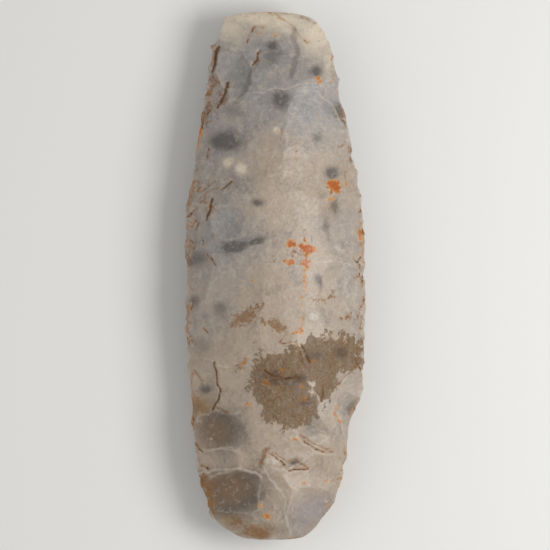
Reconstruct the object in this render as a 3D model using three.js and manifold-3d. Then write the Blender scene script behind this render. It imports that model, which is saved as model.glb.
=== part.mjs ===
// A flaked flint axe head, made the way the real one was: a lens-shaped blank is struck along its
// margins, and each blow takes off a flake and leaves a shallow scar with sharp ridges round it.
// Millimetres. The axe lies on its back face: X runs across it, Y towards its cutting edge, Z up.

import * as THREE from 'three';
import { mergeVertices } from 'three/addons/utils/BufferGeometryUtils.js';
import Module from 'manifold-3d';

// The blank, which the chips round it bring down by about 1 mm. A rise is from the margin to the
// crown of a face. Fullness is 2 for a round section and less for one that comes to a ridge.
const AXE_LENGTH = 181;
const AXE_WIDTH = 63.8;
const FRONT_RISE = 14.5;
const BACK_RISE = 17;
const FRONT_FULLNESS = 1.9;
const BACK_FULLNESS = 1.8;

// The margin winds up and down by this much, with this far from one crest to the next
const MARGIN_SWING = 0.9;
const MARGIN_WAVE = 52;

// The two places that wear has made flat, by how far they lie inside the blank
const REST_FLAT_DEPTH = 2.1;
const SEAT_FLAT_DEPTH = 0.6;

// Curved surfaces are divided into facets of about this size, and no scar has fewer than these
const FACET_SIZE = 3.6;
const FEWEST_FACETS = 4;
const BLANK_ROWS = 40;
const BLANK_COLUMNS = 16;

// A scar's rim strays this share of its size from a plain oval, with lobes that its place turns. Its
// cutter runs on past the rim to this many times its size and stands this tall.
const RIM_STRAY = 0.07;
const RIM_TURN_ALONG = 40;
const RIM_TURN_ACROSS = 60;
const SCAR_OVERRUN = 1.3;
const CUTTER_HEIGHT = 40;

// How steeply the faces go on past the two ends, as a share of their rise for each half length
const END_FALL = 8;

// The two faces, by the way that each one looks along Z
const FRONT = 1;
const BACK = -1;

const FLINT_COLOUR = 0xa59c92;

// The blank's sections, from the butt to the cutting edge. Along is a share of the half length,
// left and right are shares of the half width, and front and back are shares of each face's rise.
const STATIONS = [
  { along: -1, left: -0.35, right: 0.24, front: 0, back: 0 },
  { along: -0.982, left: -0.48, right: 0.37, front: 0.3, back: 0.32 },
  { along: -0.95, left: -0.61, right: 0.5, front: 0.48, back: 0.48 },
  { along: -0.9, left: -0.7, right: 0.61, front: 0.62, back: 0.61 },
  { along: -0.822, left: -0.79, right: 0.7, front: 0.74, back: 0.72 },
  { along: -0.667, left: -0.88, right: 0.79, front: 0.86, back: 0.85 },
  { along: -0.5, left: -0.92, right: 0.92, front: 0.94, back: 0.93 },
  { along: -0.333, left: -0.955, right: 0.97, front: 0.98, back: 0.98 },
  { along: -0.111, left: -0.975, right: 0.99, front: 1, back: 1 },
  { along: 0, left: -0.975, right: 0.975, front: 1, back: 1 },
  { along: 0.222, left: -0.975, right: 0.965, front: 0.98, back: 0.98 },
  { along: 0.4, left: -0.89, right: 0.875, front: 0.91, back: 0.92 },
  { along: 0.555, left: -0.84, right: 0.81, front: 0.8, back: 0.83 },
  { along: 0.69, left: -0.765, right: 0.715, front: 0.66, back: 0.72 },
  { along: 0.8, left: -0.75, right: 0.68, front: 0.52, back: 0.6 },
  { along: 0.884, left: -0.7, right: 0.645, front: 0.4, back: 0.46 },
  { along: 0.936, left: -0.665, right: 0.59, front: 0.3, back: 0.34 },
  { along: 0.973, left: -0.59, right: 0.48, front: 0.19, back: 0.21 },
  { along: 1, left: -0.44, right: 0.26, front: 0, back: 0 },
];

// The front face's larger scars. Across is -1 at the left margin and 1 at the right, and aim is the
// way that the blow ran, in degrees turned left from +X. Heel and toe are the scar's reach behind and
// before its deepest point, and fan widens it towards its toe.
const FRONT_SCARS = [
  // The cutting edge's facet and the hollow beside it
  { along: 0.888, across: 0.03, aim: -96, heel: 15, toe: 16.5, width: 52, depth: 2.4, fan: 0 },
  { along: 0.78, across: -0.54, aim: -96, heel: 8.5, toe: 11.5, width: 14.5, depth: 3.2, fan: -0.3 },
  { along: 0.646, across: 0.86, aim: 215, heel: 6, toe: 6, width: 15, depth: 1.5, fan: 0 },
  { along: 0.805, across: -0.86, aim: 10, heel: 4, toe: 4, width: 10, depth: 1.6, fan: 0 },
  { along: 0.68, across: -0.8, aim: 20, heel: 5, toe: 4.5, width: 11, depth: 1.8, fan: 0 },
  // Long thinning flakes that met along the crown
  { along: 0.517, across: -0.437, aim: 0, heel: 18, toe: 17.5, width: 31, depth: 1.6, fan: 0.1 },
  { along: 0.49, across: 0.6, aim: 180, heel: 14, toe: 14, width: 44, depth: 1.3, fan: 0 },
  { along: 0.093, across: 0.2, aim: 90, heel: 29, toe: 28, width: 27, depth: 0.9, fan: 0 },
  { along: -0.04, across: -0.42, aim: 0, heel: 16, toe: 11, width: 34, depth: 1.4, fan: 0 },
  { along: 0.191, across: 0.73, aim: 178, heel: 10, toe: 10, width: 30, depth: 1.5, fan: 0 },
  { along: -0.074, across: 0.73, aim: 181, heel: 10, toe: 10, width: 25, depth: 1.4, fan: 0 },
  // The left margin, down to the butt
  { along: 0.528, across: -0.85, aim: 0, heel: 6, toe: 6, width: 17, depth: 1.6, fan: 0 },
  { along: 0.339, across: -0.73, aim: 12, heel: 9, toe: 9, width: 16, depth: 1.6, fan: 0 },
  { along: 0.188, across: -0.87, aim: 0, heel: 5, toe: 6.5, width: 15, depth: 1.6, fan: 0 },
  { along: 0.199, across: -0.53, aim: -8, heel: 6.5, toe: 6, width: 12.5, depth: 1.8, fan: 0 },
  { along: -0.002, across: -0.84, aim: 4, heel: 7, toe: 6.5, width: 20, depth: 2, fan: 0 },
  { along: -0.2, across: -0.74, aim: -10, heel: 9, toe: 12.5, width: 19, depth: 1.8, fan: 0.15 },
  { along: -0.42, across: -0.73, aim: 0, heel: 10, toe: 2.6, width: 21, depth: 1.9, fan: 0 },
  { along: -0.4, across: -0.42, aim: 0, heel: 8, toe: 9, width: 21, depth: 1.1, fan: 0 },
  { along: -0.589, across: -0.68, aim: 4, heel: 10, toe: 9.5, width: 15.5, depth: 2.3, fan: 0 },
  { along: -0.697, across: -0.71, aim: 4, heel: 9, toe: 10, width: 9.5, depth: 2, fan: 0 },
  { along: -0.695, across: -0.27, aim: 10, heel: 5, toe: 5, width: 10.5, depth: 1.3, fan: 0 },
  { along: -0.818, across: -0.54, aim: 8, heel: 13, toe: 11.5, width: 17, depth: 2.8, fan: 0 },
  // The butt
  { along: -0.938, across: -0.66, aim: 55, heel: 8, toe: 7.5, width: 16, depth: 2, fan: 0 },
  { along: -0.965, across: -0.2, aim: 90, heel: 4.5, toe: 5, width: 12, depth: 1.5, fan: 0 },
  { along: -0.83, across: 0.05, aim: 92, heel: 9, toe: 9, width: 11, depth: 1.2, fan: 0 },
  { along: -0.892, across: 0.69, aim: 126, heel: 11, toe: 9.5, width: 20, depth: 2.7, fan: 0 },
  { along: -0.748, across: 0.66, aim: 180, heel: 10, toe: 12, width: 15, depth: 1.4, fan: 0 },
  // The right margin's notch, and the flakes that broke off short beside it
  { along: -0.54, across: 0.9, aim: 180, heel: 6, toe: 6, width: 23, depth: 3.4, fan: 0 },
  { along: -0.415, across: 0.81, aim: 195, heel: 6.5, toe: 8.5, width: 11, depth: 1.6, fan: 0 },
  { along: -0.282, across: 0.8, aim: 181, heel: 7.5, toe: 8.5, width: 18, depth: 1.5, fan: 0 },
  { along: -0.6, across: 0.5, aim: -68, heel: 7.5, toe: 3.4, width: 12, depth: 1.4, fan: 0 },
  { along: -0.69, across: 0.23, aim: -78, heel: 6.5, toe: 2.6, width: 16, depth: 1.2, fan: 0 },
];

// The back face's scars at its two ends
const BACK_SCARS = [
  { along: 0.87, across: 0.05, aim: -86, heel: 16, toe: 17, width: 48, depth: 2.4, fan: 0 },
  { along: -0.93, across: 0.1, aim: 95, heel: 9, toe: 14, width: 26, depth: 2.2, fan: 0 },
];

// Rows of scars down both margins. Spacing runs along the margin, inset is how far in the deepest
// point lies, as a share of the half section, and each scar differs a little from the next.
const BACK_ROWS = [
  { spacing: 25, inset: 0.5, heel: 18, toe: 18, width: 33, depth: 2.4, first: 11 },
  { spacing: 15, inset: 0.22, heel: 8, toe: 8, width: 17, depth: 1.8, first: 41 },
  { spacing: 10, inset: 0.08, heel: 3.5, toe: 4.2, width: 9, depth: 1.1, first: 81 },
];
const FRONT_ROWS = [
  { spacing: 8, inset: 0.08, heel: 3.5, toe: 4.2, width: 8.5, depth: 1.1, first: 141 },
];

// How near the ends a row reaches, how far in steps each side's row is shifted and each scar drifts,
// and how much the aims (in degrees) and the sizes of the scars differ
const ROW_END = 0.93;
const ROW_SHIFT = 0.25;
const ROW_DRIFT = 0.3;
const AIM_SCATTER = 36;
const SIZE_SCATTER = 0.45;

// Chips across the two ends, spaced and set in by shares of the half width and half length
const END_ROWS = [
  { face: BACK, spacing: 0.4, inset: 0.02, heel: 3.5, toe: 5, width: 10, depth: 1.2, first: 211 },
  { face: FRONT, spacing: 0.34, inset: 0.02, heel: 3.5, toe: 4.5, width: 8.5, depth: 1, first: 241 },
];
const END_ROW_REACH = 0.85;
const END_ROW_DRIFT = 0.4;

// Added to a scar's number, so that each of its chances is drawn apart from the others
const CHANCE = { place: 0, aim: 0.3, toe: 0.5, width: 0.7, depth: 0.9 };

const wasm = await Module();
wasm.setup();

// A number from 0 to 1 that looks random but is the same each time
function scatter(number) {
  const wave = Math.sin(number * 12.9898) * 43758.5453;
  return wave - Math.floor(wave);
}

// A factor near 1 for one of a scar's sizes
function sizeFactor(number) {
  return 1 + SIZE_SCATTER * (scatter(number) - 0.5);
}

// One column of the station table at any place along the axe, joined smoothly between stations
function stationValue(key, along) {
  const last = STATIONS.length - 1;
  let at = 0;
  while (at < last - 1 && along > STATIONS[at + 1].along) {
    at += 1;
  }
  const slope = (index) => {
    const before = STATIONS[Math.max(index - 1, 0)];
    const after = STATIONS[Math.min(index + 1, last)];
    return (after[key] - before[key]) / (after.along - before.along);
  };
  const span = STATIONS[at + 1].along - STATIONS[at].along;
  const part = (along - STATIONS[at].along) / span;
  const start = STATIONS[at][key];
  const end = STATIONS[at + 1][key];
  const ease = part * part * (3 - 2 * part);
  const startPull = part * (1 - part) * (1 - part) * span * slope(at);
  const endPull = part * part * (part - 1) * span * slope(at + 1);
  return start + (end - start) * ease + startPull + endPull;
}

// The middle and half width of the blank's section at a place along it
function section(along) {
  const left = stationValue('left', along) * AXE_WIDTH / 2;
  const right = stationValue('right', along) * AXE_WIDTH / 2;
  return { middle: (left + right) / 2, half: (right - left) / 2 };
}

// Plan position of a share along the axe and a share across its section there
function planPoint(along, across) {
  const { middle, half } = section(along);
  return new THREE.Vector2(middle + across * half, along * AXE_LENGTH / 2);
}

// Height of a face of the blank, from the margin's mean level, at a plan position. Past the margin
// the face goes on falling, so that a cutter which follows it runs clear of the stone.
function faceHeight(face, x, y) {
  const reach = Math.abs(y) / (AXE_LENGTH / 2);
  const along = THREE.MathUtils.clamp(y / (AXE_LENGTH / 2), -1, 1);
  const { middle, half } = section(along);
  const side = (x - middle) / half;
  const across = Math.abs(side);
  const fall = END_FALL * Math.max(0, reach - 1);
  const margin = MARGIN_SWING * side * across * Math.sin(2 * Math.PI * y / MARGIN_WAVE + side);
  if (face === FRONT) {
    const front = stationValue('front', along) * (1 - Math.pow(across, FRONT_FULLNESS));
    return margin + FRONT_RISE * (front - fall);
  }
  const back = stationValue('back', along) * (1 - Math.pow(across, BACK_FULLNESS));
  return margin - BACK_RISE * (back - fall);
}

function mergedGeometry(geometry) {
  geometry.deleteAttribute('normal');
  geometry.deleteAttribute('uv');
  return mergeVertices(geometry, 1e-5);
}

function toSolid(geometry) {
  return new wasm.Manifold(new wasm.Mesh({
    numProp: 3,
    vertProperties: new Float32Array(geometry.getAttribute('position').array),
    triVerts: new Uint32Array(geometry.getIndex().array),
  }));
}

function toGeometry(solid) {
  const mesh = solid.getMesh();
  const geometry = new THREE.BufferGeometry();
  geometry.setAttribute('position', new THREE.BufferAttribute(mesh.vertProperties, 3));
  geometry.setIndex(new THREE.BufferAttribute(mesh.triVerts, 1));
  return geometry;
}

// The blank: two faces lofted through the stations, meeting in a sharp margin all round
function blankGeometry() {
  const positions = [];
  const indices = [];
  for (const face of [FRONT, BACK]) {
    const first = positions.length / 3;
    for (let row = 0; row <= BLANK_ROWS; row += 1) {
      const along = Math.sin(Math.PI * (row / BLANK_ROWS - 0.5));
      for (let column = 0; column <= BLANK_COLUMNS; column += 1) {
        const across = Math.sin(Math.PI * (column / BLANK_COLUMNS - 0.5));
        const point = planPoint(along, across);
        positions.push(point.x, point.y, faceHeight(face, point.x, point.y));
        if (row === BLANK_ROWS || column === BLANK_COLUMNS) {
          continue;
        }
        const corner = first + row * (BLANK_COLUMNS + 1) + column;
        const above = corner + BLANK_COLUMNS + 1;
        const square = [corner, corner + 1, above + 1, corner, above + 1, above];
        indices.push(...(face === FRONT ? square : square.reverse()));
      }
    }
  }
  const geometry = new THREE.BufferGeometry();
  geometry.setAttribute('position', new THREE.Float32BufferAttribute(positions, 3));
  geometry.setIndex(indices);
  return mergedGeometry(geometry);
}

// How deep a flake cut below the blank at a plan position, and less than 0 past the scar's rim
function scarDepth(scar, x, y) {
  const deepest = planPoint(scar.along, scar.across);
  const aim = THREE.MathUtils.degToRad(scar.aim);
  const away = new THREE.Vector2(x, y).sub(deepest);
  const run = away.x * Math.cos(aim) + away.y * Math.sin(aim);
  const spread = away.y * Math.cos(aim) - away.x * Math.sin(aim);
  const ahead = run / (run > 0 ? scar.toe : scar.heel);
  const aside = spread / (scar.width / 2 * (1 + scar.fan * THREE.MathUtils.clamp(ahead, -1, 1)));
  const turn = Math.atan2(aside, ahead);
  const lobes = Math.sin(2 * turn + RIM_TURN_ALONG * scar.along)
    + Math.sin(3 * turn + RIM_TURN_ACROSS * scar.across);
  const rim = 1 + RIM_STRAY * lobes;
  return scar.depth * (1 - (ahead * ahead + aside * aside) / (rim * rim));
}

// A flake's cutter: a block over the scar whose underside follows the face and dips where it was cut
function scarGeometry(face, scar) {
  const length = (scar.heel + scar.toe) * SCAR_OVERRUN;
  const width = scar.width * SCAR_OVERRUN;
  const lengthFacets = Math.max(FEWEST_FACETS, Math.round(length / FACET_SIZE));
  const widthFacets = Math.max(FEWEST_FACETS, Math.round(width / FACET_SIZE));
  const block = mergedGeometry(new THREE.BoxGeometry(length, width, 1, lengthFacets, widthFacets, 1));
  block.translate((scar.toe - scar.heel) / 2, 0, 0);
  block.rotateZ(THREE.MathUtils.degToRad(scar.aim));
  const deepest = planPoint(scar.along, scar.across);
  block.translate(deepest.x, deepest.y, 0);
  const position = block.getAttribute('position');
  for (let index = 0; index < position.count; index += 1) {
    const x = position.getX(index);
    const y = position.getY(index);
    const outer = position.getZ(index) > 0;
    const cut = outer ? -CUTTER_HEIGHT : scarDepth(scar, x, y);
    position.setZ(index, faceHeight(face, x, y) - face * cut);
  }
  if (face === BACK) {
    block.getIndex().array.reverse();
  }
  return block;
}

// One scar of a row, struck inwards from a place on the outline, its reach cut down to the room there
function rowScar(row, number, place, inward, room) {
  return {
    along: place.along,
    across: place.across,
    aim: inward + AIM_SCATTER * (scatter(number + CHANCE.aim) - 0.5),
    heel: row.heel * room,
    toe: row.toe * room * sizeFactor(number + CHANCE.toe),
    width: row.width * sizeFactor(number + CHANCE.width),
    depth: row.depth * sizeFactor(number + CHANCE.depth),
    fan: 0,
  };
}

// The scars of one row, down the left margin and then the right
function sideScars(row) {
  const scars = [];
  const step = row.spacing / (AXE_LENGTH / 2);
  for (const side of [-1, 1]) {
    const inward = side < 0 ? 0 : 180;
    for (let along = step * side * ROW_SHIFT - ROW_END; along < ROW_END; along += step) {
      const number = row.first + scars.length;
      const drift = step * ROW_DRIFT * scatter(number + CHANCE.place);
      const place = { along: along + drift, across: side * (1 - row.inset) };
      const room = 2 * section(place.along).half / AXE_WIDTH;
      scars.push(rowScar(row, number, place, inward, room));
    }
  }
  return scars;
}

// The chips of one row, across the butt and then across the cutting edge
function endScars(row) {
  const scars = [];
  for (const end of [-1, 1]) {
    for (let across = -END_ROW_REACH; across < END_ROW_REACH; across += row.spacing) {
      const number = row.first + scars.length;
      const drift = row.spacing * END_ROW_DRIFT * scatter(number + CHANCE.place);
      const place = { along: end * (1 - row.inset), across: across + drift };
      scars.push(rowScar(row, number, place, -90 * end, 1));
    }
  }
  return scars;
}

// A flat made by wear: everything beyond a level plane comes off
function flatGeometry(face, level) {
  const block = mergedGeometry(new THREE.BoxGeometry(2 * AXE_WIDTH, 2 * AXE_LENGTH, CUTTER_HEIGHT));
  block.translate(0, 0, level + face * CUTTER_HEIGHT / 2);
  return block;
}

function strike(stone, face, scars) {
  return scars.reduce((left, scar) => left.subtract(toSolid(scarGeometry(face, scar))), stone);
}

function axeHead() {
  let stone = toSolid(blankGeometry());
  stone = strike(stone, BACK, [...BACK_ROWS.flatMap(sideScars), ...BACK_SCARS]);
  stone = strike(stone, FRONT, [...FRONT_SCARS, ...FRONT_ROWS.flatMap(sideScars)]);
  for (const row of END_ROWS) {
    stone = strike(stone, row.face, endScars(row));
  }
  stone = stone.subtract(toSolid(flatGeometry(BACK, REST_FLAT_DEPTH - BACK_RISE)));
  stone = stone.subtract(toSolid(flatGeometry(FRONT, FRONT_RISE - SEAT_FLAT_DEPTH)));
  const geometry = toGeometry(stone);
  geometry.translate(0, 0, BACK_RISE - REST_FLAT_DEPTH);
  return geometry;
}

const flint = new THREE.MeshStandardMaterial({ color: FLINT_COLOUR, roughness: 0.45, metalness: 0 });
const axe = new THREE.Mesh(axeHead(), flint);
axe.name = 'flint_axe_head';
const part = new THREE.Group();
part.add(axe);

export default part;
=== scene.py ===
"""The flint axe head as it looks: the knapped stone with its scars, fissures, stains and cortex.

Sizes in the tables are millimetres. X runs across the stone, Y towards its cutting edge, Z out of its
front face. Places on the front face are read in the picture's own grid and turned into millimetres.
"""

import math
from collections import namedtuple

import bpy
import numpy as np
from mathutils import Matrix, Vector


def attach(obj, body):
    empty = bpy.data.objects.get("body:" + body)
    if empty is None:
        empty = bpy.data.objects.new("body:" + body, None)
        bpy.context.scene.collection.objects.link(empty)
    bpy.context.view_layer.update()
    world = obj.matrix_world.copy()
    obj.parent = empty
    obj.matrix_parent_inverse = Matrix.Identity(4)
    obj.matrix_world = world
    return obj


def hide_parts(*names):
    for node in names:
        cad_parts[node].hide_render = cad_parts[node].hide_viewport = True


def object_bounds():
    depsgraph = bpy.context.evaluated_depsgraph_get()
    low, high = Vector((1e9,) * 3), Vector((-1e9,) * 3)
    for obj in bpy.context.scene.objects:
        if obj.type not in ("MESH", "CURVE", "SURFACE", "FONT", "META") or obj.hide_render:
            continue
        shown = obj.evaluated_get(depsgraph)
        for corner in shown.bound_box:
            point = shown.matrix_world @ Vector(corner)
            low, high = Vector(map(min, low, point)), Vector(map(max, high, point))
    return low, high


bl_info = {
    "name": "Flint Axe Head",
    "version": (1, 0, 0),
    "blender": (4, 5, 0),
    "location": "View3D > Sidebar > Flint",
    "description": "Builds a knapped flint axe head with its patina, stains and cortex",
    "category": "Add Mesh",
}

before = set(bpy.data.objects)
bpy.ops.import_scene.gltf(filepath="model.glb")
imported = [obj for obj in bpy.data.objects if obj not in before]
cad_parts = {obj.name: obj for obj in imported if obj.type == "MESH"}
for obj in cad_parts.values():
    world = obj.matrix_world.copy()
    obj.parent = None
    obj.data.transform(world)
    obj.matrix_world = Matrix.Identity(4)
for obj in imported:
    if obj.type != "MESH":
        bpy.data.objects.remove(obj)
CAD_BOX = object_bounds()
CAD_NODE = "flint_axe_head"

FRONT = 1
BACK = -1
MM = 0.001

# The blank that the flakes are struck from, as in the part's source
AXE_LENGTH = 181
AXE_WIDTH = 63.8
RISE = {FRONT: 14.5, BACK: 17}
FULLNESS = {FRONT: 1.9, BACK: 1.8}

# The margin winds up and down by this much, with this far from one crest to the next
MARGIN_SWING = 0.9
MARGIN_WAVE = 52

# How far inside the blank the two worn flats lie, and how steeply the faces go on past the two ends, as
# a share of their rise for each half length
REST_FLAT_DEPTH = 2.1
SEAT_FLAT_DEPTH = 0.6
END_FALL = 8

# A scar's rim strays this share of its size from a plain oval, with lobes that its place turns
RIM_STRAY = 0.07
RIM_TURN_ALONG = 40
RIM_TURN_ACROSS = 60

# The ripples in a scar: their spacing, how it grows with the scar's length, how far it strays, and how
# fast they rise from the rim
RIPPLE_SPACING = 2.2
RIPPLE_GROWTH = 0.08
RIPPLE_STRAY = 3
RIPPLE_RISE = 4

# The slow swells of the worn faces: their size, their share of the swells' height and their seed
SWELLS = ((13, 1, 21), (5, 0.35, 31))

# What is drawn on a face is stirred first, so that its edges break up: the size of each swirl and how
# far it pushes
SWIRLS = ((4.5, 0.6), (1.6, 0.34))
SWIRL_SEED = {FRONT: 1, BACK: 5}

# A scar is worked out only within this many times its size, for its lobes, and this much more, for the
# swirls. A groove gets this much room round it, and its sides slope over this width.
SCAR_STRETCH = 1.3
SCAR_ROOM = 1.5
GROOVE_ROOM = 1
GROOVE_SLOPE = 0.35

# The blank's sections, from the butt to the cutting edge. Along is a share of the half length, left
# and right are shares of the half width, and the last two are shares of each face's rise.
STATIONS = np.array([
    (-1, -0.35, 0.24, 0, 0),
    (-0.982, -0.48, 0.37, 0.3, 0.32),
    (-0.95, -0.61, 0.5, 0.48, 0.48),
    (-0.9, -0.7, 0.61, 0.62, 0.61),
    (-0.822, -0.79, 0.7, 0.74, 0.72),
    (-0.667, -0.88, 0.79, 0.86, 0.85),
    (-0.5, -0.92, 0.92, 0.94, 0.93),
    (-0.333, -0.955, 0.97, 0.98, 0.98),
    (-0.111, -0.975, 0.99, 1, 1),
    (0, -0.975, 0.975, 1, 1),
    (0.222, -0.975, 0.965, 0.98, 0.98),
    (0.4, -0.89, 0.875, 0.91, 0.92),
    (0.555, -0.84, 0.81, 0.8, 0.83),
    (0.69, -0.765, 0.715, 0.66, 0.72),
    (0.8, -0.75, 0.68, 0.52, 0.6),
    (0.884, -0.7, 0.645, 0.4, 0.46),
    (0.936, -0.665, 0.59, 0.3, 0.34),
    (0.973, -0.59, 0.48, 0.19, 0.21),
    (1, -0.44, 0.26, 0, 0),
])

# Which column of the table each value is in
COLUMN = {"left": 1, "right": 2, FRONT: 3, BACK: 4}

# One flake's scar. Along is a share of the half length, and across is -1 at the left margin and 1 at the
# right. Aim is the way that the blow ran, in degrees turned left from +X, heel and toe are the scar's
# reach behind and before its deepest point, and fan widens it towards its toe.
Scar = namedtuple("Scar", "along across aim heel toe width depth fan")
FRONT_SCARS = [
    # The cutting edge's facet and the hollow beside it
    (0.888, 0.03, -96, 15, 16.5, 52, 2.4, 0),
    (0.78, -0.54, -96, 8.5, 11.5, 14.5, 3.2, -0.3),
    (0.646, 0.86, 215, 6, 6, 15, 1.5, 0),
    (0.805, -0.86, 10, 4, 4, 10, 1.6, 0),
    (0.68, -0.8, 20, 5, 4.5, 11, 1.8, 0),
    # Long thinning flakes that met along the crown
    (0.517, -0.437, 0, 18, 17.5, 31, 1.6, 0.1),
    (0.49, 0.6, 180, 14, 14, 44, 1.3, 0),
    (0.093, 0.2, 90, 29, 28, 27, 0.9, 0),
    (-0.04, -0.42, 0, 16, 11, 34, 1.4, 0),
    (0.191, 0.73, 178, 10, 10, 30, 1.5, 0),
    (-0.074, 0.73, 181, 10, 10, 25, 1.4, 0),
    # The left margin, down to the butt
    (0.528, -0.85, 0, 6, 6, 17, 1.6, 0),
    (0.339, -0.73, 12, 9, 9, 16, 1.6, 0),
    (0.188, -0.87, 0, 5, 6.5, 15, 1.6, 0),
    (0.199, -0.53, -8, 6.5, 6, 12.5, 1.8, 0),
    (-0.002, -0.84, 4, 7, 6.5, 20, 2, 0),
    (-0.2, -0.74, -10, 9, 12.5, 19, 1.8, 0.15),
    (-0.42, -0.73, 0, 10, 2.6, 21, 1.9, 0),
    (-0.4, -0.42, 0, 8, 9, 21, 1.1, 0),
    (-0.589, -0.68, 4, 10, 9.5, 15.5, 2.3, 0),
    (-0.697, -0.71, 4, 9, 10, 9.5, 2, 0),
    (-0.695, -0.27, 10, 5, 5, 10.5, 1.3, 0),
    (-0.818, -0.54, 8, 13, 11.5, 17, 2.8, 0),
    # The butt
    (-0.938, -0.66, 55, 8, 7.5, 16, 2, 0),
    (-0.965, -0.2, 90, 4.5, 5, 12, 1.5, 0),
    (-0.83, 0.05, 92, 9, 9, 11, 1.2, 0),
    (-0.892, 0.69, 126, 11, 9.5, 20, 2.7, 0),
    (-0.748, 0.66, 180, 10, 12, 15, 1.4, 0),
    # The right margin's notch, and the flakes that broke off short beside it
    (-0.54, 0.9, 180, 6, 6, 23, 3.4, 0),
    (-0.415, 0.81, 195, 6.5, 8.5, 11, 1.6, 0),
    (-0.282, 0.8, 181, 7.5, 8.5, 18, 1.5, 0),
    (-0.6, 0.5, -68, 7.5, 3.4, 12, 1.4, 0),
    (-0.69, 0.23, -78, 6.5, 2.6, 16, 1.2, 0),
]
BACK_SCARS = [
    (0.87, 0.05, -86, 16, 17, 48, 2.4, 0),
    (-0.93, 0.1, 95, 9, 14, 26, 2.2, 0),
]

# Scars in rows, each a little different from the next. A side row runs down both margins with its
# spacing in millimetres, and an end row across both ends with its spacing as a share of the half width.
# Inset is how far in the deepest point lies, as a share of the half section or the half length, and
# first is the number of the row's first scar. The last two side rows are finer than the solid's.
Row = namedtuple("Row", "face spacing inset heel toe width depth first")
SIDE_ROWS = [
    Row(BACK, 25, 0.5, 18, 18, 33, 2.4, 11),
    Row(BACK, 15, 0.22, 8, 8, 17, 1.8, 41),
    Row(BACK, 10, 0.08, 3.5, 4.2, 9, 1.1, 81),
    Row(FRONT, 8, 0.08, 3.5, 4.2, 8.5, 1.1, 141),
    Row(FRONT, 4.6, 0.03, 1.5, 2.1, 4.4, 0.7, 301),
    Row(BACK, 5.2, 0.03, 1.6, 2.2, 4.8, 0.7, 401),
]
END_ROWS = [
    Row(BACK, 0.4, 0.02, 3.5, 5, 10, 1.2, 211),
    Row(FRONT, 0.34, 0.02, 3.5, 4.5, 8.5, 1, 241),
]

# How near the ends a row reaches, how far in steps each side's row is shifted and each scar drifts,
# and how much the aims (in degrees) and the sizes of the scars differ
ROW_END = 0.93
ROW_SHIFT = 0.25
ROW_DRIFT = 0.3
END_ROW_REACH = 0.85
END_ROW_DRIFT = 0.4
AIM_SCATTER = 36
SIZE_SCATTER = 0.45

# Added to a scar's number, so that each of its chances is drawn apart from the others
CHANCE = {"aim": 0.3, "toe": 0.5, "width": 0.7, "depth": 0.9}

# The picture's grid: its middle, and how many millimetres one step of it is
PICTURE_CENTRE = (275.5, 274.5)
PICTURE_STEP = 0.3409

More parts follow.
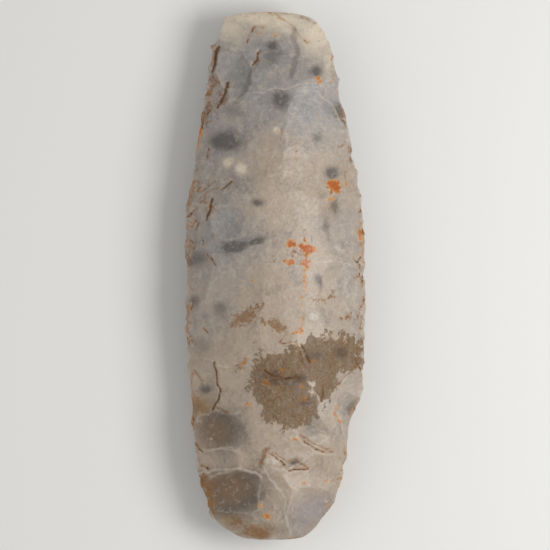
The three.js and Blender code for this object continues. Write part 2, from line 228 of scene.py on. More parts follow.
# What is drawn over the front face, in the picture's grid. Strokes: kind, half width and depth in
# millimetres, and the points they run through.
STROKES = [
    # The cutting edge's end
    ("fissure", 0.3, 0.25, [(254, 27), (251, 34), (248, 42)]),
    ("fissure", 0.2, 0.2, [(278, 16), (292, 27), (300, 34), (308, 41)]),
    ("pale", 0.35, 0, [(245, 94), (262, 93), (275, 90), (286, 89), (298, 86), (316, 83)]),
    ("fissure", 0.5, 0.5, [(260, 49), (257, 54), (256, 59), (252, 64)]),
    # Painted shade: dark lines along the walls of two scars
    ("shadow", 0.9, 0, [(256, 60), (252, 72), (248, 86), (243, 98), (237, 104)]),
    ("shadow", 0.9, 0, [(294, 30), (297, 50), (295, 62), (291, 76)]),
    ("ochre", 0.5, 0.3, [(318, 16), (326, 24), (331, 32)]),
    ("fissure", 0.3, 0.3, [(298, 15), (306, 17), (314, 22)]),
    # The left margin's fissures
    ("fissure", 0.9, 0.6, [(219, 46), (216, 56), (217, 64), (212, 72)]),
    ("ochre", 1.2, 0.3, [(210, 78), (214, 84), (209, 92)]),
    ("fissure", 0.8, 0.5, [(229, 82), (226, 92), (219, 107)]),
    ("ochre", 1.2, 0.3, [(208, 104), (207, 114), (201, 124)]),
    ("fissure", 0.6, 0.4, [(212, 109), (206, 116), (203, 127)]),
    ("rust", 0.9, 0, [(201, 127), (199, 134), (198, 142)]),
    ("fissure", 0.4, 0.3, [(210, 148), (207, 154), (207, 161)]),
    ("fissure", 0.55, 0.4, [(232, 181), (227, 185), (222, 190)]),
    ("fissure", 0.3, 0.3, [(215, 181), (209, 185), (203, 190)]),
    ("fissure", 0.3, 0.3, [(219, 186), (208, 192), (200, 199)]),
    ("fissure", 0.7, 0.4, [(214, 199), (211, 206), (206, 219)]),
    ("fissure", 0.35, 0.35, [(198, 207), (190, 214), (193, 220), (198, 222), (195, 230)]),
    ("fissure", 0.3, 0.3, [(186, 216), (191, 212), (197, 217), (190, 226)]),
    ("fissure", 0.45, 0.3, [(203, 238), (205, 241), (204, 245)]),
    ("fissure", 0.3, 0.35, [(208, 253), (213, 260), (216, 267)]),
    ("fissure", 0.25, 0.25, [(214, 233), (215, 241)]),
    ("fissure", 0.25, 0.3, [(190, 297), (194, 303), (192, 309)]),
    ("fissure", 0.25, 0.3, [(203, 327), (208, 332)]),
    ("fissure", 0.25, 0.3, [(196, 370), (200, 378), (203, 385)]),
    # The long crevice
    ("fissure", 0.6, 0.8, [(216, 362), (219, 378), (221, 388), (219, 400), (215, 408)]),
    ("fissure", 0.35, 0.5, [(217, 406), (222, 408), (228, 411)]),
    ("pale", 0.4, 0, [(217, 361), (222, 365), (228, 368)]),
    # The left side of the butt
    ("pale", 0.35, 0, [(202, 451), (212, 449), (232, 445)]),
    ("pale", 0.5, 0, [(200, 473), (210, 470), (225, 467), (243, 466), (255, 470), (263, 475)]),
    ("pale", 0.3, 0, [(232, 446), (237, 452), (243, 465)]),
    ("fissure", 0.4, 0.4, [(196, 442), (200, 448), (204, 452)]),
    ("fissure", 0.4, 0.4, [(201, 464), (206, 467), (209, 468)]),
    ("ochre", 0.8, 0.2, [(266, 448), (263, 455), (261, 462)]),
    # Painted shade: dark lines along scar walls at the butt
    ("shadow", 1.3, 0, [(228, 507), (245, 502), (263, 493)]),
    ("shadow", 0.9, 0, [(236, 473), (248, 472), (258, 476)]),
    ("pale", 0.4, 0, [(263, 465), (270, 475), (280, 487), (285, 495), (285, 512)]),
    ("pale", 0.25, 0, [(248, 514), (258, 508), (268, 523)]),
    ("pale", 0.4, 0, [(285, 512), (290, 525), (293, 537)]),
    # The step fractures
    ("fissure", 0.3, 0.7, [(301, 434), (306, 442), (315, 448), (333, 450)]),
    ("fissure", 0.2, 0.4, [(303, 437), (316, 444), (330, 447)]),
    ("fissure", 0.25, 0.6, [(268, 452), (275, 456), (282, 461), (287, 465)]),
    ("fissure", 0.2, 0.4, [(275, 452), (281, 456), (286, 460)]),
    ("fissure", 0.25, 0.6, [(282, 463), (290, 469), (300, 466), (308, 467)]),
    ("fissure", 0.2, 0.3, [(287, 459), (295, 457), (303, 461), (308, 466)]),
    ("pale", 0.35, 0, [(305, 415), (316, 425), (326, 434)]),
    ("pale", 0.3, 0, [(342, 385), (337, 400), (341, 425), (345, 438)]),
    ("rust", 0.35, 0, [(338, 404), (336, 413), (340, 422)]),
    # The right margin
    ("pale", 0.35, 0, [(316, 85), (322, 96), (330, 103), (337, 115), (343, 126)]),
    ("fissure", 0.55, 0.4, [(342, 118), (345, 121), (346, 126)]),
    ("fissure", 0.3, 0.3, [(338, 146), (342, 143), (346, 140)]),
    ("ochre", 0.8, 0.2, [(352, 147), (353, 156)]),
    ("pale", 0.3, 0, [(311, 259), (328, 261), (345, 263), (357, 268)]),
    ("fissure", 0.35, 0.4, [(354, 257), (357, 262), (361, 264), (359, 275)]),
    ("rust", 0.8, 0, [(361, 231), (361, 239)]),
    ("fissure", 0.3, 0.3, [(366, 296), (362, 305), (357, 318)]),
    ("fissure", 0.3, 0.3, [(339, 318), (344, 319), (351, 312)]),
    ("fissure", 0.35, 0.5, [(354, 354), (358, 362), (361, 370)]),
    ("fissure", 0.35, 0.4, [(353, 371), (345, 377), (338, 384)]),
    # Cracks and pale ripples of the upper face
    ("fissure", 0.15, 0.12, [(284, 130), (283, 136), (280, 141)]),
    ("fissure", 0.15, 0.12, [(294, 142), (296, 150), (298, 160)]),
    ("pale", 0.25, 0, [(265, 180), (275, 174), (283, 172), (290, 171)]),
    ("pale", 0.22, 0, [(301, 167), (307, 170), (312, 174)]),
    ("pale", 0.3, 0, [(279, 140), (284, 148), (286, 156), (280, 168)]),
    ("pale", 0.3, 0, [(275, 152), (270, 160), (263, 168)]),
    ("pale", 0.25, 0, [(243, 224), (246, 220), (244, 214)]),
    ("pale", 0.25, 0, [(222, 183), (232, 179), (243, 183)]),
    # The rust stain and its drip
    ("rust", 0.7, 0, [(289, 243), (295, 247), (302, 253), (308, 250)]),
    ("rust", 0.6, 0, [(306, 238), (305, 246), (307, 256), (307, 265)]),
    ("rust", 0.45, 0, [(307, 264), (306, 274), (305, 285), (304, 297)]),
    ("rust", 0.35, 0, [(304, 297), (300, 297), (299, 301)]),
    ("rust", 0.32, 0, [(302, 306), (303, 318), (300, 327), (303, 337)]),
    ("ochre", 0.5, 0.1, [(245, 358), (241, 366), (233, 370)]),
    ("rust", 0.35, 0, [(245, 358), (242, 364)]),
    # In and round the cortex
    ("ochre", 0.9, 0.2, [(263, 320), (275, 320), (282, 326), (286, 333)]),
    ("fissure", 0.25, 0.3, [(284, 335), (280, 339), (284, 343), (289, 341)]),
    ("pale", 0.4, 0, [(298, 345), (308, 360), (315, 375), (319, 392), (318, 408)]),
    ("fissure", 0.8, 0.4, [(301, 343), (307, 352), (311, 360)]),
    ("fissure", 0.9, 0.4, [(322, 384), (322, 392), (321, 399)]),
    ("fissure", 0.3, 0.4, [(296, 342), (300, 352), (303, 362)]),
    ("fissure", 0.8, 0.5, [(264, 368), (273, 374), (283, 377), (298, 376)]),
]

# One spot: the middle of it, its radii in millimetres, its turn in degrees and its strength
Spot = namedtuple("Spot", "x y long short turn strength", defaults=(0, 1.0))

# The front face's spots, with their middles in the picture's grid
SPOTS = {
    # The chalky cutting edge, and three fossils
    "cream": [
        (262, 14, 16, 4), (318, 34, 8, 7, -40, 0.9), (229, 28, 5, 6, 40, 0.7),
        (284, 20, 10, 5, -10, 0.9), (330, 55, 3, 9, 0, 0.6), (229, 164, 1.6, 1.5), (241, 169, 1.5, 1.6),
        (277, 131, 1.3, 1.3),
    ],
    # Bluer patina
    "cool": [
        (238, 75, 6, 10, 10), (262, 60, 8, 8, 0, 0.7), (330, 98, 5, 6, -40, 0.8),
        (270, 110, 20, 12, 0, 0.5), (225, 135, 9, 12, 0, 0.6), (225, 222, 6, 7, 0, 0.9),
        (215, 250, 9, 20, 0, 0.5), (330, 220, 8, 12, 0, 0.4), (210, 350, 8, 14, 0, 0.45),
    ],
    # Browner patina
    "warm": [
        (215, 370, 9, 20, 0, 0.8), (215, 480, 14, 14), (290, 205, 14, 22, 0, 0.7),
        (278, 300, 16, 14, 0, 0.6), (275, 400, 12, 16, 0, 0.6), (275, 490, 12, 12, 0, 0.9),
        (300, 480, 12, 10, 0, 0.6), (220, 458, 9, 3.5, 5, 0.9),
    ],
    # Dark flint that shows through
    "smudge": [
        (273, 45, 1.8, 1.8, 0, 0.8), (271, 56, 4, 3, 30, 0.45), (318, 72, 2.4, 1.8, 0, 0.7),
        (281, 101, 3.2, 3, 0, 0.75), (234, 112, 4, 2.2, -20, 0.3), (227, 141, 4.8, 2.9, -8, 0.95),
        (318, 137, 1.5, 2, 0, 0.5), (339, 109, 1.8, 2.2, 0, 0.6), (333, 172, 2.4, 2, 0, 0.85),
        (258, 203, 2, 1.2, 20, 0.7), (236, 246, 4.6, 1.9, 8, 0.95), (257, 241, 3.2, 1, 28, 0.8),
        (319, 281, 1.2, 2.4, 0, 0.75), (335, 207, 1.2, 2.6, 10, 0.6), (326, 225, 1, 2, 0, 0.4),
        (197, 259, 4, 2.6, 15, 0.6), (195, 301, 1.8, 1.8, 0, 0.55), (222, 309, 3, 1.8, -40, 0.4),
        (206, 389, 1.8, 1.6, 0, 0.7), (203, 345, 3, 3.2, 0, 0.3), (218, 424, 6, 5.5, 0, 0.8),
        (224, 436, 6, 4, 0, 0.6), (240, 482, 5.4, 2.6, 5), (228, 507, 6, 3, 10, 0.7),
        (222, 492, 7, 7, 0, 0.5), (311, 430, 3, 3.5, 0, 0.3), (352, 405, 1, 2, -20, 0.5),
        (296, 460, 2, 0.9, 0, 0.8), (306, 516, 6, 3, 35, 0.4), (232, 492, 11, 7, 0, 0.95),
        (219, 429, 8, 6.5, 0, 0.7), (312, 512, 8, 5, 20, 0.3),
    ],
    # The newer scar at the butt
    "lilac": [
        (312, 508, 8, 5.5, 25), (300, 525, 4, 4, 0, 0.8),
    ],
    # Clear brown flint
    "amber": [
        (203, 406, 3.4, 3.4), (193, 404, 2.6, 2.6, 0, 0.9), (206, 495, 5, 7, 10, 0.9),
        (232, 488, 8, 6, 0, 0.6), (216, 430, 6, 6, 0, 0.5), (214, 478, 4, 2, 0, 0.5),
        (258, 530, 5, 3.2, 0, 0.9), (236, 521, 6, 3, -20, 0.5), (188, 256, 1.6, 3, 0, 0.5),
        (330, 207, 3, 4, 0, 0.3),
    ],
    # Fossils and small dents
    "pale": [
        (277, 131, 1.2, 1.2), (229, 164, 1.5, 1.4), (241, 169, 1.4, 1.5), (314, 316, 1.6, 1.2, 20),
        (212, 439, 0.7, 0.6), (320, 493, 0.6, 0.5), (327, 501, 0.6, 0.5),
    ],
    # Rust spots
    "rust": [
        (320, 80, 1.2, 1.1), (277, 132, 0.4, 0.4), (229, 164, 0.35, 0.35), (259, 33, 0.4, 0.5),
        (276, 34, 0.4, 0.3), (263, 28, 0.35, 0.35), (273, 17, 0.5, 0.4), (335, 186, 2.6, 2.5),
        (347, 185, 0.5, 0.8), (330, 197, 0.9, 0.6), (291, 243, 2.0, 1.8), (300, 247, 2.8, 1.8, -30),
        (309, 249, 2.5, 2.3), (292, 261, 2.1, 1.4), (307, 264, 1.7, 1.6), (248, 219, 0.7, 0.7),
        (253, 278, 0.5, 0.5), (293, 332, 0.8, 0.8), (261, 504, 1.2, 0.9), (267, 513, 1.5, 0.9),
        (294, 438, 0.9, 0.8, 0, 0.9), (250, 403, 0.8, 0.7, 0, 0.9), (326, 480, 1.2, 1.2, 0, 0.8),
        (303, 480, 0.8, 1, 0, 0.8), (280, 477, 0.9, 0.8, 0, 0.8), (334, 503, 1, 1.6, 0, 0.8),
        (284, 368, 0.9, 0.9), (265, 380, 0.9, 0.7), (280, 388, 0.9, 1), (302, 383, 0.9, 0.8),
        (305, 395, 0.9, 0.9), (314, 359, 0.8, 0.6),
    ],
    # Brown stains
    "ochre": [
        (300, 250, 5, 4, 0, 0.62), (307, 237, 1.9, 1.3, 0, 0.8), (206, 492, 3.6, 7, 14, 0.85),
        (258, 531, 4.6, 2.6, 0, 0.95), (238, 521, 5, 2, -20, 0.8), (214, 478, 4, 1.6, 0, 0.7),
        (214, 84, 2, 3, 0, 0.85), (224, 98, 2.2, 3.4, -20, 0.85), (206, 116, 2.2, 4, 10, 0.85),
        (215, 56, 1.6, 4, 10, 0.9), (212, 206, 1.8, 3, 15, 0.8), (193, 404, 2, 2, 0, 0.8),
        (274, 260, 1.8, 1, 0, 0.8), (335, 187, 3, 2.8, 0, 0.8), (331, 295, 1.3, 1.6, 20, 0.9),
        (322, 300, 1.2, 0.6, 20, 0.9), (315, 189, 1.2, 2.6, 0, 0.6), (206, 203, 2, 2.4, 0, 0.8),
        (348, 318, 1.9, 1.5, 0, 0.9), (247, 316, 5.4, 2.4, 32), (257, 307, 2.6, 1.4, 25),
        (278, 325, 3, 1.6, -35), (345, 340, 3, 4, 0, 0.7),
    ],
    # The patch of rough skin
    "cortex": [
        (285, 385, 10.5, 12, 10), (312, 360, 13, 8.5, 22), (335, 352, 9, 7.5), (325, 380, 6, 6, 0, 0.9),
        (290, 410, 10, 5.5, 10, 0.9), (262, 375, 4, 7, 0, 0.9),
    ],
    # Earth in the cortex and beside it
    "core": [
        (275, 376, 4, 2.4, -10), (297, 379, 4, 2.6, 10, 0.9), (318, 354, 3.5, 2, 0, 0.7),
        (342, 350, 3, 2.6, 0, 0.8), (306, 398, 3, 2.6, 0, 0.6), (280, 327, 0.9, 0.9),
        (272, 322, 0.6, 0.6), (243, 319, 1.4, 0.8, 20),
    ],
}

# The back face isn't seen. Its few spots have their middles in millimetres, and its other marks are
# scattered up to these shares of its half length and half width: each kind's number and size.
BACK_SPOTS = {
    "cortex": [(-8, 34, 12, 15, 12), (-2, 20, 8, 9, -20, 0.95)],
    "core": [(-9, 33, 5, 4, 0, 0.9), (-2, 22, 3, 3, 0, 0.7)],
    "cream": [(0, 84, 18, 6, 0, 0.9)],
    "amber": [(8, -82, 8, 4, 15, 0.7)],
}
BACK_MARKS = [
    ("smudge", 15, 3.2),
    ("cool", 10, 13),
    ("warm", 10, 13),
    ("rust", 16, 1.0),
    ("ochre", 12, 1.8),
    ("amber", 4, 3),
    ("pale", 7, 1.1),
]
BACK_MARKS_ALONG = 0.9
BACK_MARKS_ACROSS = 0.85
BACK_MARKS_SEED = 1500
BACK_MARKS_STEP = 7
BACK_MARK_CHANCES = (0, 0.3, 0.5, 0.7, 0.9, 1.1)

# Short fissures scattered along both margins of each face: how many, how near the ends, how far out and
# how much further in at most as shares of the half width, and the chances that one lies on the left and
# that one is only stained. Then the least and what is added at most, in millimetres, of the length, the
# lean and the half width, and the depth.
MARGIN_FISSURES = 60
FISSURE_SEED = {FRONT: 700, BACK: 703}
FISSURE_STEP = 10
FISSURE_END = 0.92
FISSURE_OUT = 0.99
FISSURE_IN = 0.12
LEFT_CHANCE = 0.55
STAINED_CHANCE = 0.2
FISSURE_LENGTH = (1.2, 3.2)
FISSURE_LEAN = (0.3, 1.2)
FISSURE_HALF_WIDTH = (0.02, 0.2)
FISSURE_DEPTH = 0.22
FISSURE_CHANCES = (0, 0.2, 0.4, 0.6, 0.8, 0.5, 0.1)

# Fissures are drawn at this share of their tabled width, because their stain widens them again
FISSURE_SHARE = 0.5

# How far each edged mark fades out past its edge and in from it, taken together, in millimetres. Soft
# marks have no edge, and fall away from their middle with this steepness and power.
EDGE_REACH = {"fissure": 2.4, "rust": 4.0, "ochre": 6.0, "pale": 2.4, "cortex": 9.0, "shadow": 4.0}
EDGED = tuple(EDGE_REACH)
SOFT = ("smudge", "cool", "warm", "lilac", "amber", "cream", "core")
SOFT_FALL = 0.9
SOFT_POWER = 2.4
MARGIN_REACH = 6.0

# The faces end where the stone between them is thinner than this, found by halving a grid step so many
# times. The stone is grown from its middle, by so many points between counts, and edges that turn more
# than this stay sharp.
MARGIN_GAP = 0.02
RIM_HALVINGS = 12
GROWTH_STEPS = 8
SHARP_ANGLE = math.radians(60)

# A point this proud of its neighbours is fully an arris, after so many rounds of smoothing
ARRIS_HEIGHT = 0.05
ARRIS_SMOOTHINGS = 2

# Crumbs lie at least this far apart, and none below this height. Each is stretched between these shares
# of the crumb size, and turned by up to a full turn.
CRUMB_GAP = 0.45
CRUMB_FLOOR = 2
CRUMB_STRETCH = ((0.4, 0.4, 0.25), (1.2, 1.0, 0.6))
CRUMB_TURN = 6.28

# The cortex starts to crumble where its mark reaches the first level, and crumbles fully at the second
CRUMBLY = (0.5, 0.8)

# The noises that break up the flint's colours, wide, mottle, veil, fine and grain: size in millimetres,
# detail, roughness, seed and twist
NOISES = (
    (34, 3, 0.5, 1.3),
    (9, 5, 0.6, 2.7, 0.4),
    (3.2, 6, 0.62, 4.1, 0.8),
    (0.9, 5, 0.65, 5.9),
    (0.28, 3, 0.6, 7.7),
)

# The flint's coats: the levels between which each comes in, and how strongly it covers what it lies on
COATS = {
    "milky": (0.48, 0.68, 0.5),
    "dusky": (0.46, 0.68, 0.42),
    "shadow": (0.36, 0.64, 0.42),
    "arris": (0.25, 1.0, 0.6),
    "valley_darkening": (0.2, 0.95, 0.3),
    "pale": (0.47, 0.62, 0.5),
    "wash": (0.38, 0.64, 0.65),
    "ochre": (0.42, 0.66, 0.75),
    "cortex": (0.45, 0.57, 0.85),
    "rust": (0.42, 0.68, 0.95),
    "halo": (0.2, 0.6, 0.45),
    "fissure": (0.48, 0.58, 0.72),
    "pits": (0.0, 0.05, 0.5),
    "fleck": (0.53, 0.64, 0.22),
    "dust": (0.46, 0.64, 0.15),
}

# The coats of four soft marks: how much the mottle and the veil strengthen each, what it has without
# them, and how strongly it covers what it lies on
SOFT_COATS = {
    "smudge": (1.5, 1.2, 0.35, 0.88),
    "lilac": (0, 0.8, 0.4, 1),
    "cream": (0, 0.8, 0.55, 0.85),
    "amber": (0.8, 0.6, 0.3, 0.85),
}

# Where the flint is blue-grey: how much the wide clouds, the mottle, the place along the stone and the
# marks for cool and warm flint count. The place rises by so much for each metre from so much at the middle.
COOLNESS = {"wide": 1.8, "mottle": 1.2, "along": 0.75, "cool": 0.7, "warm": 0.75}
COOLER_ALONG = (5.5, 0.45)

# The studio, in metres: half the floor's side, each lamp's share of the key power, its size and its
# place, and how far the camera sees
FLOOR_HALF = 3.0
LAMPS = {
    "key_lamp": (1, 0.34, (0.4, -0.02, 0.46)),
    "edge_lamp": (0.2, 0.6, (-0.5, -0.1, 0.4)),
}
CAMERA_SIGHT = 10


def paint(red, green, blue):
    """A colour as a screen shows it, 0 to 255, as the linear numbers that shaders take."""
    shares = (red / 255, green / 255, blue / 255)
    return tuple(s / 12.92 if s < 0.04045 else ((s + 0.055) / 1.055) ** 2.4 for s in shares) + (1.0,)


def on_stone(column, row):
    """A place in the picture's grid as millimetres across and along the stone."""
    return (column - PICTURE_CENTRE[0]) * PICTURE_STEP, (PICTURE_CENTRE[1] - row) * PICTURE_STEP


def scatter(number):
    """A number from 0 to 1 that looks random but is the same each time."""
    wave = math.sin(number * 12.9898) * 43758.5453
    return wave - math.floor(wave)


def chances(seed, offsets):
    """Several such numbers, each drawn apart from the others."""
    return [scatter(seed + offset) for offset in offsets]


def cloud(x, y, size, seed):
    """Smooth noise from -1 to 1, with swells about size millimetres apart."""
    across, along = x / size + 17.3 * seed, y / size + 9.1 * seed
    left, low = np.floor(across), np.floor(along)
    s, t = across - left, along - low
    s, t = s * s * (3 - 2 * s), t * t * (3 - 2 * t)

    def corner(i, j):
        wave = np.sin((left + i) * 127.1 + (low + j) * 311.7) * 43758.5453
        return (wave - np.floor(wave)) * 2 - 1

    under = corner(0, 0) * (1 - s) + corner(1, 0) * s
    over = corner(0, 1) * (1 - s) + corner(1, 1) * s
    return under * (1 - t) + over * t


def station_value(key, along):
    """One column of the station table at any place along the stone, joined smoothly."""
    values, places = STATIONS[:, COLUMN[key]], STATIONS[:, 0]
    last = len(places) - 1
    at = np.clip(np.searchsorted(places, along, side="left") - 1, 0, last - 1)
    before, after = np.maximum(np.arange(last + 1) - 1, 0), np.minimum(np.arange(last + 1) + 1, last)
    slopes = (values[after] - values[before]) / (places[after] - places[before])
    span = places[at + 1] - places[at]
    part = (along - places[at]) / span
    ease = part * part * (3 - 2 * part)
    pull = part * (1 - part) * ((1 - part) * slopes[at] - part * slopes[at + 1]) * span
    return values[at] + (values[at + 1] - values[at]) * ease + pull


def section(along):
    """The middle and half width of the blank at a place along it."""
    left = station_value("left", along) * AXE_WIDTH / 2
    right = station_value("right", along) * AXE_WIDTH / 2
    return (left + right) / 2, (right - left) / 2


def face_height(face, x, y):
    """Height of a face of the blank above the margin's mean level."""
    reach = np.abs(y) / (AXE_LENGTH / 2)
    along = np.clip(y / (AXE_LENGTH / 2), -1, 1)
    middle, half = section(along)
    side = (x - middle) / half
    across = np.abs(side)
    fall = END_FALL * np.maximum(0, reach - 1)
    margin = MARGIN_SWING * side * across * np.sin(2 * math.pi * y / MARGIN_WAVE + side)
    crown = station_value(face, along) * (1 - across ** FULLNESS[face])
    return margin + face * RISE[face] * (crown - fall)


def row_scar(row, number, along, across, inward, room):
    """One scar of a row, a little different from the next."""
    def factor(key):
        return 1 + SIZE_SCATTER * (scatter(number + CHANCE[key]) - 0.5)

    aim = inward + AIM_SCATTER * (scatter(number + CHANCE["aim"]) - 0.5)
    heel, toe = row.heel * room, row.toe * room * factor("toe")
    return Scar(along, across, aim, heel, toe, row.width * factor("width"), row.depth * factor("depth"), 0)


def side_scars(row):
    """The scars of one row, down the left margin and then the right."""
    scars = []
    step = row.spacing / (AXE_LENGTH / 2)
    for side in (-1, 1):
        along = step * side * ROW_SHIFT - ROW_END
        while along < ROW_END:
            number = row.first + len(scars)
            place = along + step * ROW_DRIFT * scatter(number)
            room = 2 * section(place)[1] / AXE_WIDTH
            scars.append(row_scar(row, number, place, side * (1 - row.inset), 0 if side < 0 else 180, room))
            along += step
    return scars


def end_scars(row):
    """The chips of one row, across the butt and then across the cutting edge."""
    scars = []
    for end in (-1, 1):
        across = -END_ROW_REACH
        while across < END_ROW_REACH:
            number = row.first + len(scars)
            place = across + row.spacing * END_ROW_DRIFT * scatter(number)
            scars.append(row_scar(row, number, end * (1 - row.inset), place, -90 * end, 1))
            across += row.spacing
    return scars


def all_scars(face):
    """Every scar of a face, the large ones first."""
    scars = [Scar(*values) for values in (FRONT_SCARS if face == FRONT else BACK_SCARS)]
    for rows, strike in ((SIDE_ROWS, side_scars), (END_ROWS, end_scars)):
        for row in rows:
            scars += strike(row) if row.face == face else []
    return scars


def scar_depth(scar, x, y, ripple):
    """How deep a flake cut below the blank, less than 0 past its rim, with faint ripples round its blow."""
    middle, half = section(scar.along)
    turn = math.radians(scar.aim)
    dx, dy = x - (middle + scar.across * half), y - scar.along * AXE_LENGTH / 2
    run = dx * math.cos(turn) + dy * math.sin(turn)
    spread = dy * math.cos(turn) - dx * math.sin(turn)
    ahead = run / np.where(run > 0, scar.toe, scar.heel)
    aside = spread / (scar.width / 2 * (1 + scar.fan * np.clip(ahead, -1, 1)))
    angle = np.arctan2(aside, ahead)
    lobes = np.sin(2 * angle + RIM_TURN_ALONG * scar.along)
    lobes = lobes + np.sin(3 * angle + RIM_TURN_ACROSS * scar.across)
    rim = 1 + RIM_STRAY * lobes
    cut = scar.depth * (1 - (ahead * ahead + aside * aside) / (rim * rim))
    reach = np.hypot(run + scar.heel, spread)
    length = scar.heel + scar.toe
    spacing = RIPPLE_SPACING + RIPPLE_GROWTH * length
    waves = np.sin(2 * math.pi * reach / spacing + RIPPLE_STRAY * np.sin(reach / length * 2))
    return cut + ripple * waves * np.clip(cut / scar.depth * RIPPLE_RISE, 0, 1)


def stroke_distance(points, x, y):
    """Distance in millimetres from a line through points."""
    nearest = np.full(x.shape, np.inf)
    for (x0, y0), (x1, y1) in zip(points, points[1:]):
        span = (x1 - x0) ** 2 + (y1 - y0) ** 2
        share = np.clip(((x - x0) * (x1 - x0) + (y - y0) * (y1 - y0)) / span, 0, 1)
        nearest = np.minimum(nearest, np.hypot(x - x0 - share * (x1 - x0), y - y0 - share * (y1 - y0)))
    return nearest


def margin_fissure(seed):
    """One short fissure that runs in from a margin: kind, half width, depth and points."""
    place, left, inset, long, slant, stained, wide = chances(seed, FISSURE_CHANCES)
    along = 2 * FISSURE_END * place - FISSURE_END
    side = 1 if left > LEFT_CHANCE else -1
    middle, half = section(along)
    x = middle + side * half * (FISSURE_OUT - FISSURE_IN * inset ** 2)
    y = along * AXE_LENGTH / 2
    length = FISSURE_LENGTH[0] + FISSURE_LENGTH[1] * long
    lean = side * (FISSURE_LEAN[0] + FISSURE_LEAN[1] * slant)
    points = [(x, y), (x - 0.3 * lean * length, y - 0.5 * length), (x - 0.9 * lean, y - length)]
    kind = "ochre" if stained > 1 - STAINED_CHANCE else "fissure"
    return kind, FISSURE_HALF_WIDTH[0] + FISSURE_HALF_WIDTH[1] * wide ** 2, FISSURE_DEPTH, points


def face_strokes(face):
    """The strokes of a face in millimetres: the front's own, and the margin's short fissures."""
    strokes = []
    for kind, half_width, depth, points in (STROKES if face == FRONT else []):
        width = half_width * (FISSURE_SHARE if kind == "fissure" else 1)
        strokes.append((kind, width, depth, [on_stone(*point) for point in points]))
    seeds = [FISSURE_SEED[face] + FISSURE_STEP * number for number in range(MARGIN_FISSURES)]
    return strokes + [margin_fissure(seed) for seed in seeds]


def back_mark(size, seed):
    """One scattered mark of the back face."""
    place, aside, large, squat, strong, turned = chances(seed, BACK_MARK_CHANCES)
    along = 2 * BACK_MARKS_ALONG * place - BACK_MARKS_ALONG
    middle, half = section(along)
    x = middle + half * (2 * BACK_MARKS_ACROSS * aside - BACK_MARKS_ACROSS)
    long = size * (0.5 + large)
    return Spot(x, along * AXE_LENGTH / 2, long, long * (0.5 + 0.6 * squat), 180 * turned, 0.5 + 0.5 * strong)


def face_spots(face):
    """The spots of a face, each with its kind, with their middles in millimetres."""
    if face == FRONT:
        known = [(kind, *spot) for kind, spots in SPOTS.items() for spot in spots]
        return [(kind, Spot(*on_stone(column, row), *rest)) for kind, column, row, *rest in known]
    spots = [(kind, Spot(*spot)) for kind, known in BACK_SPOTS.items() for spot in known]
    seed = BACK_MARKS_SEED
    for kind, count, size in BACK_MARKS:
        for _ in range(count):
            seed += BACK_MARKS_STEP
            spots.append((kind, back_mark(size, seed)))
    return spots


def warped(face, x, y):
    """The place stirred a little, so that what is drawn there gets a natural, broken edge."""
    def stir(seed):
        return sum(push * cloud(x, y, size, seed + k) for k, (size, push) in enumerate(SWIRLS))

    return x + stir(SWIRL_SEED[face]), y + stir(SWIRL_SEED[face] + len(SWIRLS))


def near_points(points, reach, x, y):
    """Which places lie within reach of the box round some points."""
    low, high = np.min(points, axis=0) - reach, np.max(points, axis=0) + reach
    return (x > low[0]) & (x < high[0]) & (y > low[1]) & (y < high[1])


def edge_share(kind, away):
    """How strong an edged mark is so far outside its edge: 0.5 on the edge itself."""
    return np.clip(0.5 - away / EDGE_REACH[kind], 0, 1)


